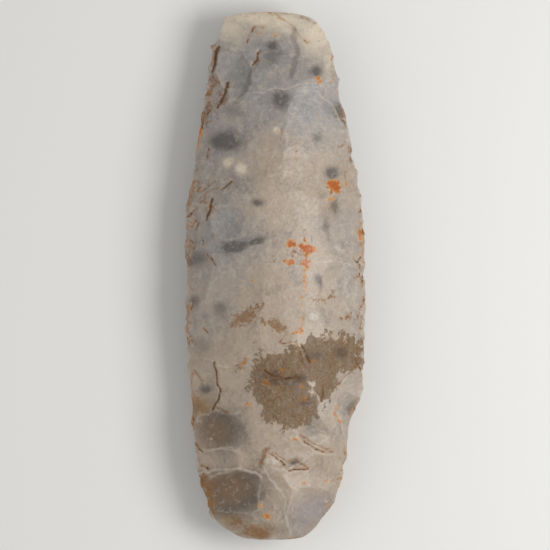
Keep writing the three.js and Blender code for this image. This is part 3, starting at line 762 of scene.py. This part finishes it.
class Face:
    """One face of the stone: its scars, strokes and spots, and what they come to at any place."""

    def __init__(self, side, ripple, swell):
        self.side = side
        self.ripple = ripple
        self.swell = swell
        self.scars = all_scars(side)
        self.strokes = face_strokes(side)
        self.spots = face_spots(side)

    def height(self, x, y):
        """Height in millimetres above the margin's mean level."""
        stirred = warped(self.side, x, y)
        swell = self.swell * sum(share * cloud(x, y, size, seed + self.side) for size, share, seed in SWELLS)
        lost = self.cut(x, y, *stirred) + self.groove(x, y, *stirred) + swell
        z = face_height(self.side, x, y) - self.side * lost
        if self.side == FRONT:
            return np.minimum(z, RISE[FRONT] - SEAT_FLAT_DEPTH)
        return np.maximum(z, REST_FLAT_DEPTH - RISE[BACK])

    def cut(self, x, y, stirred_x, stirred_y):
        """How deep the scars lie below the blank."""
        cut = np.zeros(x.shape)
        for scar in self.scars:
            middle, half = section(scar.along)
            centre = (middle + scar.across * half, scar.along * AXE_LENGTH / 2)
            reach = SCAR_STRETCH * max(scar.heel, scar.toe, scar.width / 2) + SCAR_ROOM
            near = near_points([centre], reach, x, y)
            cut[near] = np.maximum(cut[near], scar_depth(scar, stirred_x[near], stirred_y[near], self.ripple))
        return cut

    def groove(self, x, y, stirred_x, stirred_y):
        """How deep the strokes are cut into the surface, with sloping sides."""
        groove = np.zeros(x.shape)
        for _, half_width, depth, points in self.strokes:
            if depth:
                near = near_points(points, half_width + GROOVE_ROOM, x, y)
                away = stroke_distance(points, stirred_x[near], stirred_y[near])
                sunk = depth * np.clip(1 - away / (half_width + GROOVE_SLOPE), 0, 1)
                groove[near] = np.maximum(groove[near], sunk)
        return groove

    def marks(self, x, y):
        """How strong each kind of mark is. Edged kinds are 0.5 on their edge, and rise inwards."""
        stirred_x, stirred_y = warped(self.side, x, y)
        found = {kind: np.zeros(x.shape) for kind in EDGED + SOFT}
        for kind, half_width, _, points in self.strokes:
            near = near_points(points, EDGE_REACH[kind] + half_width, x, y)
            away = stroke_distance(points, stirred_x[near], stirred_y[near]) - half_width
            found[kind][near] = np.maximum(found[kind][near], edge_share(kind, away))
        for kind, spot in self.spots:
            turn = math.radians(spot.turn)
            dx, dy = stirred_x - spot.x, stirred_y - spot.y
            run = (dx * math.cos(turn) + dy * math.sin(turn)) / spot.long
            aside = (dy * math.cos(turn) - dx * math.sin(turn)) / spot.short
            reach = np.hypot(run, aside)
            if kind in EDGED:
                mark = spot.strength * edge_share(kind, (reach - 1) * min(spot.long, spot.short))
            else:
                mark = spot.strength * np.exp(-(reach ** SOFT_POWER) * SOFT_FALL)
            found[kind] = np.maximum(found[kind], mark)
        middle, half = section(np.clip(y / (AXE_LENGTH / 2), -1, 1))
        inset = np.minimum(half - np.abs(x - middle), AXE_LENGTH / 2 - np.abs(y))
        found["margin"] = np.clip(1 - inset / MARGIN_REACH, 0, 1)
        return found


def grow_inside(inside):
    """The one body of stone: what joins the middle, without stray crumbs."""
    body = np.zeros(inside.shape, bool)
    body[inside.shape[0] // 2, inside.shape[1] // 2] = True
    size = 0
    while body.sum() != size:
        size = body.sum()
        for _ in range(GROWTH_STEPS):
            body[1:] |= body[:-1]
            body[:-1] |= body[1:]
            body[:, 1:] |= body[:, :-1]
            body[:, :-1] |= body[:, 1:]
            body &= inside
    return body


def find_rim(faces, inside, grid_x, grid_y):
    """Where the margin crosses the grid's lines: each crossing's number by its line, and their places."""
    rims, rim_x, rim_y = {}, [], []
    rows, columns = inside.shape
    for axis, (dj, di) in enumerate(((0, 1), (1, 0))):
        one, two = inside[:rows - dj, :columns - di], inside[dj:, di:]
        for j, i in zip(*np.nonzero(one != two)):
            rims[(axis, j, i)] = len(rim_x)
            ends = ((j, i), (j + dj, i + di)) if one[j, i] else ((j + dj, i + di), (j, i))
            rim_x.append([grid_x[ends[0]], grid_x[ends[1]]])
            rim_y.append([grid_y[ends[0]], grid_y[ends[1]]])
    rim_x, rim_y = np.array(rim_x), np.array(rim_y)
    near, far = np.zeros(len(rim_x)), np.ones(len(rim_x))
    for _ in range(RIM_HALVINGS):
        half = (near + far) / 2
        x = rim_x[:, 0] + half * (rim_x[:, 1] - rim_x[:, 0])
        y = rim_y[:, 0] + half * (rim_y[:, 1] - rim_y[:, 0])
        front, back = faces[FRONT].height(x, y), faces[BACK].height(x, y)
        stone = front - back - MARGIN_GAP > 0
        near, far = np.where(stone, half, near), np.where(stone, far, half)
    return rims, np.stack([x, y, (front + back) / 2], axis=1)


def fill_whole_cells(face, z, index, centres, cells):
    """Two triangles for each whole cell of a face, split along the diagonal that follows its ridges."""
    j, i = cells
    middle = face.height(*centres)
    rising = np.abs((z[j, i] + z[j + 1, i + 1]) / 2 - middle)
    falling = np.abs((z[j, i + 1] + z[j + 1, i]) / 2 - middle)
    along_rise = (rising <= falling)[:, None]
    a, b, c, d = index[j, i], index[j, i + 1], index[j + 1, i + 1], index[j + 1, i]
    first = np.where(along_rise, np.stack([a, b, c], 1), np.stack([a, b, d], 1))
    second = np.where(along_rise, np.stack([a, c, d], 1), np.stack([b, c, d], 1))
    both = np.concatenate([first, second])
    return both if face.side == FRONT else both[:, ::-1]


def fill_cut_cell(inside, index, rims, j, i):
    """The triangles of both faces in one cell that the margin crosses."""
    corners = ((j, i), (j, i + 1), (j + 1, i + 1), (j + 1, i))
    lines = ((0, j, i), (1, j, i + 1), (0, j + 1, i), (1, j, i))
    triangles = []
    for side in (FRONT, BACK):
        ring = []
        for corner, line, following in zip(corners, lines, corners[1:] + corners[:1]):
            if inside[corner]:
                ring.append(index[side][corner])
            if inside[corner] != inside[following]:
                ring.append(rims[line])
        fan = [(ring[0], ring[k], ring[k + 1]) for k in range(1, len(ring) - 1)]
        triangles += fan if side == FRONT else [triangle[::-1] for triangle in fan]
    return triangles


def carry(mesh, name, values):
    """Stores one number with each point of a mesh."""
    mesh.attributes.new(name, "FLOAT", "POINT").data.foreach_set("value", values.astype(np.float32))


def stone_mesh(name, spacing, ripple, swell):
    """The closed stone: both faces over one grid, cut off where they meet in the margin."""
    faces = {side: Face(side, ripple, swell) for side in (FRONT, BACK)}
    reach_x, reach_y = AXE_WIDTH / 2 + 1, AXE_LENGTH / 2 + 1
    grid_x, grid_y = np.meshgrid(np.arange(-reach_x, reach_x, spacing), np.arange(-reach_y, reach_y, spacing))
    height = {side: face.height(grid_x, grid_y) for side, face in faces.items()}
    inside = grow_inside(height[FRONT] - height[BACK] > MARGIN_GAP)
    rims, rim_points = find_rim(faces, inside, grid_x, grid_y)

    # The points of the front, then of the back, then of the rim that both share
    count = int(inside.sum())
    index = {side: np.full(inside.shape, -1) for side in faces}
    index[FRONT][inside] = np.arange(count)
    index[BACK][inside] = np.arange(count) + count
    rims = {line: number + 2 * count for line, number in rims.items()}
    flat_x, flat_y = grid_x[inside], grid_y[inside]
    flats = [np.stack([flat_x, flat_y, height[side][inside]], axis=1) for side in faces]
    points = np.concatenate([*flats, rim_points])

    corners = (inside[:-1, :-1], inside[:-1, 1:], inside[1:, 1:], inside[1:, :-1])
    whole = np.logical_and.reduce(corners)
    crossed = np.logical_or.reduce(corners) & ~whole
    cells = np.nonzero(whole)
    centres = grid_x[cells] + spacing / 2, grid_y[cells] + spacing / 2
    triangles = [fill_whole_cells(faces[side], height[side], index[side], centres, cells) for side in faces]
    triangles += [fill_cut_cell(inside, index, rims, j, i) for j, i in zip(*np.nonzero(crossed))]
    triangles = np.concatenate(triangles)

    lift = (0, 0, RISE[BACK] - REST_FLAT_DEPTH)
    mesh = bpy.data.meshes.new(name)
    mesh.from_pydata(((points + lift) * MM).tolist(), [], triangles.tolist())
    front_places = np.concatenate([flat_x, rim_points[:, 0]]), np.concatenate([flat_y, rim_points[:, 1]])
    front_marks, back_marks = faces[FRONT].marks(*front_places), faces[BACK].marks(flat_x, flat_y)
    for kind in EDGED + SOFT + ("margin",):
        front, back = front_marks[kind], back_marks[kind]
        carry(mesh, kind, np.concatenate([front[:count], back, front[count:]]))
    carry(mesh, "ridge", ridges(points, triangles))
    mesh.shade_smooth()
    mesh.set_sharp_from_angle(angle=SHARP_ANGLE)
    return mesh


def ridges(points, triangles):
    """How far each point stands out from its neighbours: above 0 on an arris, below 0 in a valley."""
    sides = ((0, 1), (1, 2), (2, 0))
    total, normals = np.zeros(points.shape), np.zeros(points.shape)
    number = np.zeros(len(points))
    for a, b in sides:
        for one, two in ((a, b), (b, a)):
            np.add.at(total, triangles[:, one], points[triangles[:, two]])
            np.add.at(number, triangles[:, one], 1)
    inward = total / number[:, None] - points
    p, q, r = (points[triangles[:, k]] for k in range(3))
    facing = np.cross(q - p, r - p)
    for k in range(3):
        np.add.at(normals, triangles[:, k], facing)
    normals /= np.maximum(np.linalg.norm(normals, axis=1, keepdims=True), 1e-12)
    proud = -(inward * normals).sum(axis=1)
    for _ in range(ARRIS_SMOOTHINGS):
        smooth = np.zeros(len(points))
        for a, b in sides:
            np.add.at(smooth, triangles[:, a], proud[triangles[:, b]])
            np.add.at(smooth, triangles[:, b], proud[triangles[:, a]])
        proud = 0.5 * proud + 0.5 * smooth / number
    return np.clip(proud / ARRIS_HEIGHT, -1, 1)


class Level:
    """A number in a shader, so that sums on it read as they are written."""

    def __init__(self, bench, socket):
        self.bench = bench
        self.socket = socket

    def maths(self, operation, *values):
        node = self.bench.node("ShaderNodeMath", {"operation": operation}, dict(enumerate(values)))
        return Level(self.bench, node.outputs[0])

    def __add__(self, other):
        return self.maths("ADD", self, other)

    def __sub__(self, other):
        return self.maths("SUBTRACT", self, other)

    def __rsub__(self, other):
        return self.maths("SUBTRACT", other, self)

    def __mul__(self, other):
        return self.maths("MULTIPLY", self, other)

    __radd__ = __add__
    __rmul__ = __mul__

    def between(self, low, high):
        """0 below low, 1 above high, and a smooth step between."""
        inputs = {"Value": self, "From Min": low, "From Max": high}
        node = self.bench.node("ShaderNodeMapRange", {"interpolation_type": "SMOOTHSTEP"}, inputs)
        return Level(self.bench, node.outputs[0])

    def most(self, other):
        """The larger of two numbers."""
        return self.maths("MAXIMUM", self, other)

    def kept(self):
        """Held between 0 and 1."""
        return self.maths("MAXIMUM", self.maths("MINIMUM", self, 1.0), 0.0)

    def stirred(self, *stirs):
        """Pushed up and down by noises, each with how far it pushes, which breaks up an edge."""
        level = self
        for noise, push in stirs:
            level = level + (noise - 0.5) * push
        return level


class NodeTable:
    """A node tree while its nodes are laid out."""

    def __init__(self, tree):
        self.tree = tree

    def node(self, kind, settings=None, inputs=None):
        """Any node: its settings first, then the values or links of its sockets."""
        node = self.tree.nodes.new(kind)
        for key, value in (settings or {}).items():
            setattr(node, key, value)
        for key, value in (inputs or {}).items():
            self.feed(node.inputs[key], value)
        return node

    def feed(self, socket, value):
        """Links a socket to what comes from a node, and otherwise sets its value."""
        value = getattr(value, "socket", value)
        if isinstance(value, bpy.types.NodeSocket):
            self.tree.links.new(value, socket)
        else:
            socket.default_value = value


class Bench(NodeTable):
    """A material while its nodes are laid out."""

    def __init__(self, name):
        self.material = bpy.data.materials.new(name)
        self.material.use_nodes = True
        super().__init__(self.material.node_tree)
        self.shader = self.tree.nodes["Principled BSDF"]
        self.place = self.node("ShaderNodeTexCoord").outputs["Object"]

    def shade(self, values):
        """Sets or links the shader's own sockets."""
        for name, value in values.items():
            self.feed(self.shader.inputs[name], value)

    def bump(self, relief, strength, distance):
        """Raises the surface by relief, in steps of a distance in millimetres."""
        inputs = {"Strength": strength, "Distance": distance * MM, "Height": relief}
        self.shade({"Normal": self.node("ShaderNodeBump", inputs=inputs).outputs["Normal"]})

    def mark(self, name):
        """One of the marks that the mesh carries."""
        node = self.node("ShaderNodeAttribute", {"attribute_name": name})
        return Level(self, node.outputs["Fac"])

    def cloud(self, size, detail, roughness, seed, twist=0.0):
        """Noise from 0 to 1 with swells about size millimetres apart."""
        inputs = {"Vector": self.place, "W": seed, "Scale": 1 / (size * MM), "Detail": detail}
        inputs |= {"Roughness": roughness, "Distortion": twist}
        node = self.node("ShaderNodeTexNoise", {"noise_dimensions": "4D"}, inputs)
        return Level(self, node.outputs["Fac"])

    def cells(self, size, seed):
        """Distance from the nearest of many scattered points, in units of size millimetres."""
        inputs = {"Vector": self.place, "W": seed, "Scale": 1 / (size * MM)}
        node = self.node("ShaderNodeTexVoronoi", {"voronoi_dimensions": "4D"}, inputs)
        return Level(self, node.outputs["Distance"])

    def blend(self, share, first, second):
        """Two colours mixed, the second as strong as share."""
        settings = {"data_type": "RGBA", "blend_type": "MIX", "clamp_factor": True}
        return self.node("ShaderNodeMix", settings, {0: share, 6: first, 7: second}).outputs[2]


class FlintBench(Bench):
    """The flint while its coats of colour are laid, each over the last."""

    def __init__(self, colours):
        super().__init__("patinated_flint")
        self.colours = colours
        self.wide, self.mottle, self.veil, self.fine, self.grain = (self.cloud(*noise) for noise in NOISES)
        self.colour = colours.warm_grey

    def lay(self, share, tone):
        """Lays a coat as strongly as share."""
        self.colour = self.blend(share, self.colour, tone)

    def coat(self, name, level, tone, broken_by=None):
        """Lays a coat where level reaches its place in the table, and returns where that is."""
        low, high, cover = COATS[name]
        shown = level.between(low, high)
        if broken_by:
            shown = shown * broken_by
        self.lay(shown * cover, tone)
        return shown

    def soft_coat(self, kind, tone):
        """Lays the coat of a soft mark, cloudy with the mottle and the veil."""
        mottled, veiled, least, cover = SOFT_COATS[kind]
        cloudy = self.mottle * mottled + self.veil * veiled + least
        self.lay((self.mark(kind) * cloudy).kept() * cover, tone)

    def patina(self):
        """Warm and blue-grey clouds, milky here and dark there, painted shade along some scar walls, pale at
        the edge and brown where clear.
        """
        colours = self.colours
        place = self.node("ShaderNodeSeparateXYZ", inputs={0: self.place}).outputs["Y"]
        along = Level(self, place) * COOLER_ALONG[0] + COOLER_ALONG[1]
        cool = (self.wide - 0.5) * COOLNESS["wide"] + (self.mottle - 0.5) * COOLNESS["mottle"]
        cool = cool + along * COOLNESS["along"]
        cool = cool + self.mark("cool") * COOLNESS["cool"] - self.mark("warm") * COOLNESS["warm"]
        self.lay(cool.kept(), colours.cool_grey)
        self.coat("milky", self.veil, colours.veil)
        self.coat("dusky", self.mottle, colours.smudge, self.fine.between(0.3, 0.7))
        self.soft_coat("smudge", colours.smudge)
        self.soft_coat("lilac", colours.lilac)
        self.soft_coat("cream", colours.cream)
        # Painted shade along the walls of some scars, in the smudge colour
        self.coat("shadow", self.mark("shadow").stirred((self.veil, 0.25)), colours.smudge)
        self.soft_coat("amber", colours.amber)

    def arrises(self):
        """Pale arrises, worn pale and with a painted highlight along them, darker and browner valleys between
        them, and the pale lines and fossils.
        """
        ridge = self.mark("ridge")
        # Pale on every ridge by its curvature: worn pale edges with a painted highlight along them
        self.coat("arris", ridge, self.colours.arris, self.fine.between(0.3, 0.7))
        # Darker and browner in every valley, by its curvature alone
        self.coat("valley_darkening", 0 - ridge, self.colours.fissure, self.fine.between(0.35, 0.7))
        self.coat("pale", self.mark("pale").stirred((self.fine, 0.16), (self.veil, 0.3)), self.colours.arris)

    def stains(self):
        """The brown wash of the margins and the brown stains. Returns where the stains are."""
        fine, veil, colours = self.fine, self.veil, self.colours
        wash = (self.mark("margin") * 0.5).stirred((self.mottle, 1.3), (veil, 1.5), (fine, 0.7))
        self.coat("wash", wash, colours.ochre)
        earthy = self.blend(fine.between(0.35, 0.65), colours.cortex, colours.ochre)
        return self.coat("ochre", self.mark("ochre").stirred((veil, 1.1), (fine, 0.9)), earthy)

    def cortex(self):
        """The nodule's rough skin, with dark earth and pale chalk in it. Returns where it is."""
        fine, veil, colours = self.fine, self.veil, self.colours
        earth = self.blend(fine.between(0.38, 0.62), colours.cortex, colours.cortex_pale)
        core = (self.mark("core") * 0.8).stirred((veil, 1.9), (fine, 1.0)).between(0.22, 0.6)
        earth = self.blend(core * 0.8, earth, colours.cortex_dark)
        earth = self.blend(self.grain.between(0.5, 0.75) * 0.45, earth, colours.cortex_dark)
        earth = self.blend(veil.between(0.52, 0.7) * 0.3, earth, colours.veil)
        patch = self.mark("cortex").stirred((self.mottle, 1.2), (veil, 1.1), (fine, 0.3))
        return self.coat("cortex", patch, earth)

    def rust(self):
        """Bright rust with a paler rim. Returns where it is."""
        mark, fine, veil = self.mark("rust"), self.fine, self.veil
        deep = mark.stirred((fine, 0.8), (veil, 0.8)).between(0.48, 0.74)
        tone = self.blend(deep, self.colours.rust_pale, self.colours.rust)
        return self.coat("rust", mark.stirred((veil, 1.1), (fine, 1.1)), tone)

    def fissures(self):
        """Fissures filled with iron, in their brown halos. Returns where they are."""
        mark, colours = self.mark("fissure"), self.colours
        self.coat("halo", mark.stirred((self.veil, 1.2)), colours.ochre)
        iron = self.blend(self.grain.between(0.35, 0.6), colours.fissure, colours.cortex_dark)
        return self.coat("fissure", mark.stirred((self.fine, 0.3), (self.veil, 0.4)), iron)

    def specks(self):
        """Small pits, and over all a mist of pale flecks and dust. Returns where the pits are."""
        pits = 0.12 - self.cells(3.4, 3.0)
        pits = self.coat("pits", pits, self.colours.fissure, self.mottle.between(0.42, 0.6))
        self.coat("fleck", self.cloud(1.7, 4, 0.6, 9.3, 0.6), self.colours.arris)
        self.coat("dust", self.fine, self.colours.cortex_dark)
        return pits


def flint_material(colours):
    """Patinated flint: cloudy blue-grey and warm grey, with its stains, fissures and rough cortex."""
    flint = FlintBench(colours)
    flint.patina()
    flint.arrises()
    stain, crust, rust = flint.stains(), flint.cortex(), flint.rust()
    crack, pits = flint.fissures(), flint.specks()
    fine, veil = flint.fine - 0.5, flint.veil - 0.5
    rough = crust.most(crack).most(stain * 0.6)

    # Heights in millimetres
    relief = fine * 0.11 + veil * 0.24 + rough * fine * 1.3 + rough * (flint.grain - 0.5) * 0.5
    relief = relief + crust * veil * 2.6 - pits * 0.12 - crack * 0.25 + (flint.mottle - 0.5) * 0.7
    flint.bump(relief, 1.0, 1.0)

    roughness = (0.4 + fine * 0.16 + rough * 0.42 + rust * 0.12).kept()
    flint.shade({"Base Color": flint.colour, "Roughness": roughness})
    flint.shade({"Coat Weight": 0.12, "Coat Roughness": 0.3})
    return flint.material


def crumb_material(colours):
    """The loose, earthy crumbs that sit in the cortex."""
    bench = Bench("cortex_crumbs")
    fine = bench.cloud(0.5, 3, 0.6, 2.2)
    patch = bench.cloud(4, 3, 0.5, 6.4)
    colour = bench.blend(fine.between(0.35, 0.65), colours.cortex, colours.cortex_pale)
    colour = bench.blend(patch.between(0.5, 0.7) * 0.7, colour, colours.cortex_dark)
    bench.shade({"Base Color": colour, "Roughness": 0.78 + fine * 0.18})
    bench.bump(fine, 0.6, 0.3)
    return bench.material


def crumb_tree(material):
    """Scatters crumbs over the stone where its cortex is, sunk halfway into it."""
    tree = bpy.data.node_groups.new("Cortex Crumbs", "GeometryNodeTree")
    sockets = {}
    for name, kind in (("Stone", "NodeSocketGeometry"), ("Density", "NodeSocketFloat"),
                       ("Crumb Size", "NodeSocketFloat"), ("Seed", "NodeSocketInt")):
        sockets[name] = tree.interface.new_socket(name, in_out="INPUT", socket_type=kind)
    tree.interface.new_socket("Crumbs", in_out="OUTPUT", socket_type="NodeSocketGeometry")
    node = NodeTable(tree).node

    given = node("NodeGroupInput").outputs
    cortex = node("GeometryNodeInputNamedAttribute", {"data_type": "FLOAT"}, {"Name": "cortex"})
    inner = node("ShaderNodeMapRange", {"interpolation_type": "SMOOTHSTEP"},
                 {"Value": cortex.outputs[0], "From Min": CRUMBLY[0], "From Max": CRUMBLY[1]})
    height = node("ShaderNodeSeparateXYZ", None, {0: node("GeometryNodeInputPosition").outputs[0]})
    raised = node("ShaderNodeMath", {"operation": "GREATER_THAN"},
                  {0: height.outputs["Z"], 1: CRUMB_FLOOR * MM})
    share = node("ShaderNodeMath", {"operation": "MULTIPLY"}, {0: inner.outputs[0], 1: raised.outputs[0]})
    spread = node("GeometryNodeDistributePointsOnFaces", {"distribute_method": "POISSON"},
                  {"Mesh": given["Stone"], "Distance Min": CRUMB_GAP * MM, "Density Max": given["Density"],
                   "Density Factor": share.outputs[0], "Seed": given["Seed"]})
    crumb = node("GeometryNodeMeshIcoSphere", None, {"Radius": given["Crumb Size"], "Subdivisions": 1})
    turn = node("FunctionNodeRandomValue", {"data_type": "FLOAT_VECTOR"},
                {"Min": (0, 0, 0), "Max": (CRUMB_TURN,) * 3, "Seed": given["Seed"]})
    size = node("FunctionNodeRandomValue", {"data_type": "FLOAT_VECTOR"},
                {"Min": CRUMB_STRETCH[0], "Max": CRUMB_STRETCH[1], "Seed": given["Seed"]})
    placed = node("GeometryNodeInstanceOnPoints", None,
                  {"Points": spread.outputs["Points"], "Instance": crumb.outputs["Mesh"],
                   "Rotation": turn.outputs[0], "Scale": size.outputs[0]})
    real = node("GeometryNodeRealizeInstances", None, {"Geometry": placed.outputs[0]})
    finished = node("GeometryNodeSetMaterial", None, {"Geometry": real.outputs[0], "Material": material})
    node("NodeGroupOutput", None, {"Crumbs": finished.outputs[0]})
    return tree, sockets


def length_property(name, description, millimetres, **limits):
    return bpy.props.FloatProperty(name=name, description=description, default=millimetres * MM,
                                   subtype="DISTANCE", unit="LENGTH", **limits)


def colour_property(name, description, red, green, blue):
    return bpy.props.FloatVectorProperty(name=name, description=description, default=paint(red, green, blue),
                                         size=4, subtype="COLOR", min=0, max=1)


class FlintShape(bpy.types.PropertyGroup):
    """How finely the stone is worked, and how its cortex crumbles"""

    spacing: length_property(
        "Facet Size", "Distance between the points of the stone's mesh", 0.45, min=0.2 * MM)
    ripple: length_property("Ripple Height", "Height of the ripples that each blow left in its scar", 0.035)
    swell: length_property("Swell Height", "Height of the slow swells of the worn faces", 0.12)
    crumb_size: length_property("Crumb Size", "Radius of the largest crumbs in the cortex", 0.24)
    crumb_density: bpy.props.FloatProperty(
        name="Crumb Density", description="Crumbs for each square metre of cortex", default=420_000)
    crumb_seed: bpy.props.IntProperty(
        name="Crumb Seed", description="Changes where the crumbs fall", default=4)


class FlintColours(bpy.types.PropertyGroup):
    """The colours of the flint, its stains and its cortex"""

    warm_grey: colour_property("Warm Grey", "The flint's warm patina", 166, 149, 131)
    cool_grey: colour_property("Cool Grey", "The flint's blue-grey patina", 143, 139, 136)
    veil: colour_property("Veil", "The milky clouds in the patina", 180, 170, 157)
    # Also the colour of the painted shade along some scar walls
    smudge: colour_property("Smudge", "Dark flint that shows through the patina", 78, 73, 69)
    lilac: colour_property("Fresh Scar", "The newer scar at the butt", 150, 140, 138)
    cream: colour_property("Cream", "The pale cutting edge", 224, 208, 182)
    # Paints the worn pale arrises with their painted highlight, and the pale lines and flecks
    arris: colour_property("Arris", "The pale ridges between the scars", 194, 183, 167)
    amber: colour_property("Amber", "Clear brown flint at the margins", 134, 96, 42)
    ochre: colour_property("Ochre", "Brown iron staining", 158, 108, 56)
    rust: colour_property("Rust", "The core of the rust stains", 182, 92, 10)
    rust_pale: colour_property("Pale Rust", "The rim of the rust stains", 192, 138, 48)
    fissure: colour_property("Fissure", "The iron that fills the fissures", 106, 74, 46)
    cortex: colour_property("Cortex", "The rough skin of the nodule", 130, 98, 64)
    cortex_pale: colour_property("Pale Cortex", "The chalky grains of the cortex", 160, 132, 97)
    cortex_dark: colour_property("Dark Cortex", "The earth in the pits of the cortex", 88, 62, 40)


class StudioSettings(bpy.types.PropertyGroup):
    """The floor, the lamps and the camera"""

    floor_colour: colour_property("Floor", "The plain floor and background", 226, 225, 222)
    key_power: bpy.props.FloatProperty(
        name="Key Power", description="Power of the large lamp on the stone's right", default=2.4,
        subtype="POWER", unit="POWER")
    fill_strength: bpy.props.FloatProperty(
        name="Fill Strength", description="Strength of the even light from all round", default=0.5)
    camera_distance: length_property("Camera Distance", "From the stone's mid height to the camera", 1300)
    frame_width: length_property("Frame Width", "What the picture spans at the stone's mid height", 187.5)


def put(name, data):
    """A new object of the scene, at the origin."""
    made = bpy.data.objects.new(name, data)
    bpy.context.scene.collection.objects.link(made)
    return made


def settle(piece):
    """Puts a finished piece on the part's one body."""
    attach(piece, "root")


class FLINT_OT_stone(bpy.types.Operator):
    """Knap the stone and give it its patina"""

    bl_idname = "flint.stone"
    bl_label = "Knap Stone"

    def execute(self, context):
        shape = context.scene.flint_shape
        mesh = stone_mesh("knapped_stone", shape.spacing / MM, shape.ripple / MM, shape.swell / MM)
        mesh.materials.append(flint_material(context.scene.flint_colours))
        stone = put("knapped_stone", mesh)
        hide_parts(CAD_NODE)
        settle(stone)
        return {"FINISHED"}


class FLINT_OT_crumbs(bpy.types.Operator):
    """Scatter earthy crumbs over the stone's cortex"""

    bl_idname = "flint.crumbs"
    bl_label = "Scatter Cortex Crumbs"

    def execute(self, context):
        shape = context.scene.flint_shape
        carrier = put("crumb_carrier", bpy.data.meshes["knapped_stone"].copy())
        tree, sockets = crumb_tree(crumb_material(context.scene.flint_colours))
        scattering = carrier.modifiers.new("Cortex Crumbs", "NODES")
        scattering.node_group = tree
        scattering[sockets["Density"].identifier] = shape.crumb_density
        scattering[sockets["Crumb Size"].identifier] = shape.crumb_size
        scattering[sockets["Seed"].identifier] = shape.crumb_seed
        evaluated = carrier.evaluated_get(context.evaluated_depsgraph_get())
        mesh = bpy.data.meshes.new_from_object(evaluated)
        if len(mesh.polygons) == 0:
            raise RuntimeError("No crumb fell on the cortex")
        mesh.name = "cortex_crumbs"
        carrier.modifiers.remove(scattering)
        bpy.data.objects.remove(carrier)
        crumbs = put("cortex_crumbs", mesh)
        settle(crumbs)
        return {"FINISHED"}


class FLINT_OT_studio(bpy.types.Operator):
    """Lay the floor, hang the lamps and aim the camera"""

    bl_idname = "flint.studio"
    bl_label = "Set Up Studio"

    def execute(self, context):
        scene = context.scene
        studio = scene.flint_studio
        bench = Bench("studio_floor")
        bench.shade({"Base Color": studio.floor_colour, "Roughness": 0.85})
        mesh = bpy.data.meshes.new("studio_floor")
        corners = [(FLOOR_HALF * x, FLOOR_HALF * y, 0) for x, y in ((-1, -1), (1, -1), (1, 1), (-1, 1))]
        mesh.from_pydata(corners, [], [(0, 1, 2, 3)])
        mesh.materials.append(bench.material)
        floor = put("studio_floor", mesh)

        world = bpy.data.worlds.new("studio_light")
        world.use_nodes = True
        sky = world.node_tree.nodes["Background"].inputs
        sky["Color"].default_value = (1, 1, 1, 1)
        sky["Strength"].default_value = studio.fill_strength
        scene.world = world

        middle = (CAD_BOX[0][2] + CAD_BOX[1][2]) / 2
        for name, (share, size, place) in LAMPS.items():
            light = bpy.data.lights.new(name, "AREA")
            light.energy = studio.key_power * share
            light.size = size
            lamp = put(name, light)
            lamp.location = place
            aim = Vector((0, 0, middle)) - Vector(place)
            lamp.rotation_euler = aim.to_track_quat("-Z", "Y").to_euler()

        lens = bpy.data.cameras.new("camera")
        lens.lens = lens.sensor_width * studio.camera_distance / studio.frame_width
        lens.clip_end = CAMERA_SIGHT
        camera = put("camera", lens)
        camera.location = (0, 0, middle + studio.camera_distance)
        scene.camera = camera
        scene.view_settings.view_transform = "Standard"
        return {"FINISHED"}


class FLINT_PT_panel(bpy.types.Panel):
    """The steps of the flint axe head, in order"""

    bl_idname = "FLINT_PT_panel"
    bl_label = "Flint Axe Head"
    bl_space_type = "VIEW_3D"
    bl_region_type = "UI"
    bl_category = "Flint"

    def draw(self, context):
        layout = self.layout
        for settings in (context.scene.flint_shape, context.scene.flint_colours, context.scene.flint_studio):
            box = layout.box()
            for key in type(settings).__annotations__:
                box.prop(settings, key)
        for operator in (FLINT_OT_stone, FLINT_OT_crumbs, FLINT_OT_studio):
            layout.operator(operator.bl_idname)


CLASSES = (
    FlintShape,
    FlintColours,
    StudioSettings,
    FLINT_OT_stone,
    FLINT_OT_crumbs,
    FLINT_OT_studio,
    FLINT_PT_panel,
)


def register():
    for item in CLASSES:
        bpy.utils.register_class(item)
    bpy.types.Scene.flint_shape = bpy.props.PointerProperty(type=FlintShape)
    bpy.types.Scene.flint_colours = bpy.props.PointerProperty(type=FlintColours)
    bpy.types.Scene.flint_studio = bpy.props.PointerProperty(type=StudioSettings)


def unregister():
    del bpy.types.Scene.flint_studio
    del bpy.types.Scene.flint_colours
    del bpy.types.Scene.flint_shape
    for item in reversed(CLASSES):
        bpy.utils.unregister_class(item)


def main():
    register()
    bpy.ops.flint.stone()
    bpy.ops.flint.crumbs()
    bpy.ops.flint.studio()


if __name__ == "__main__":
    main()
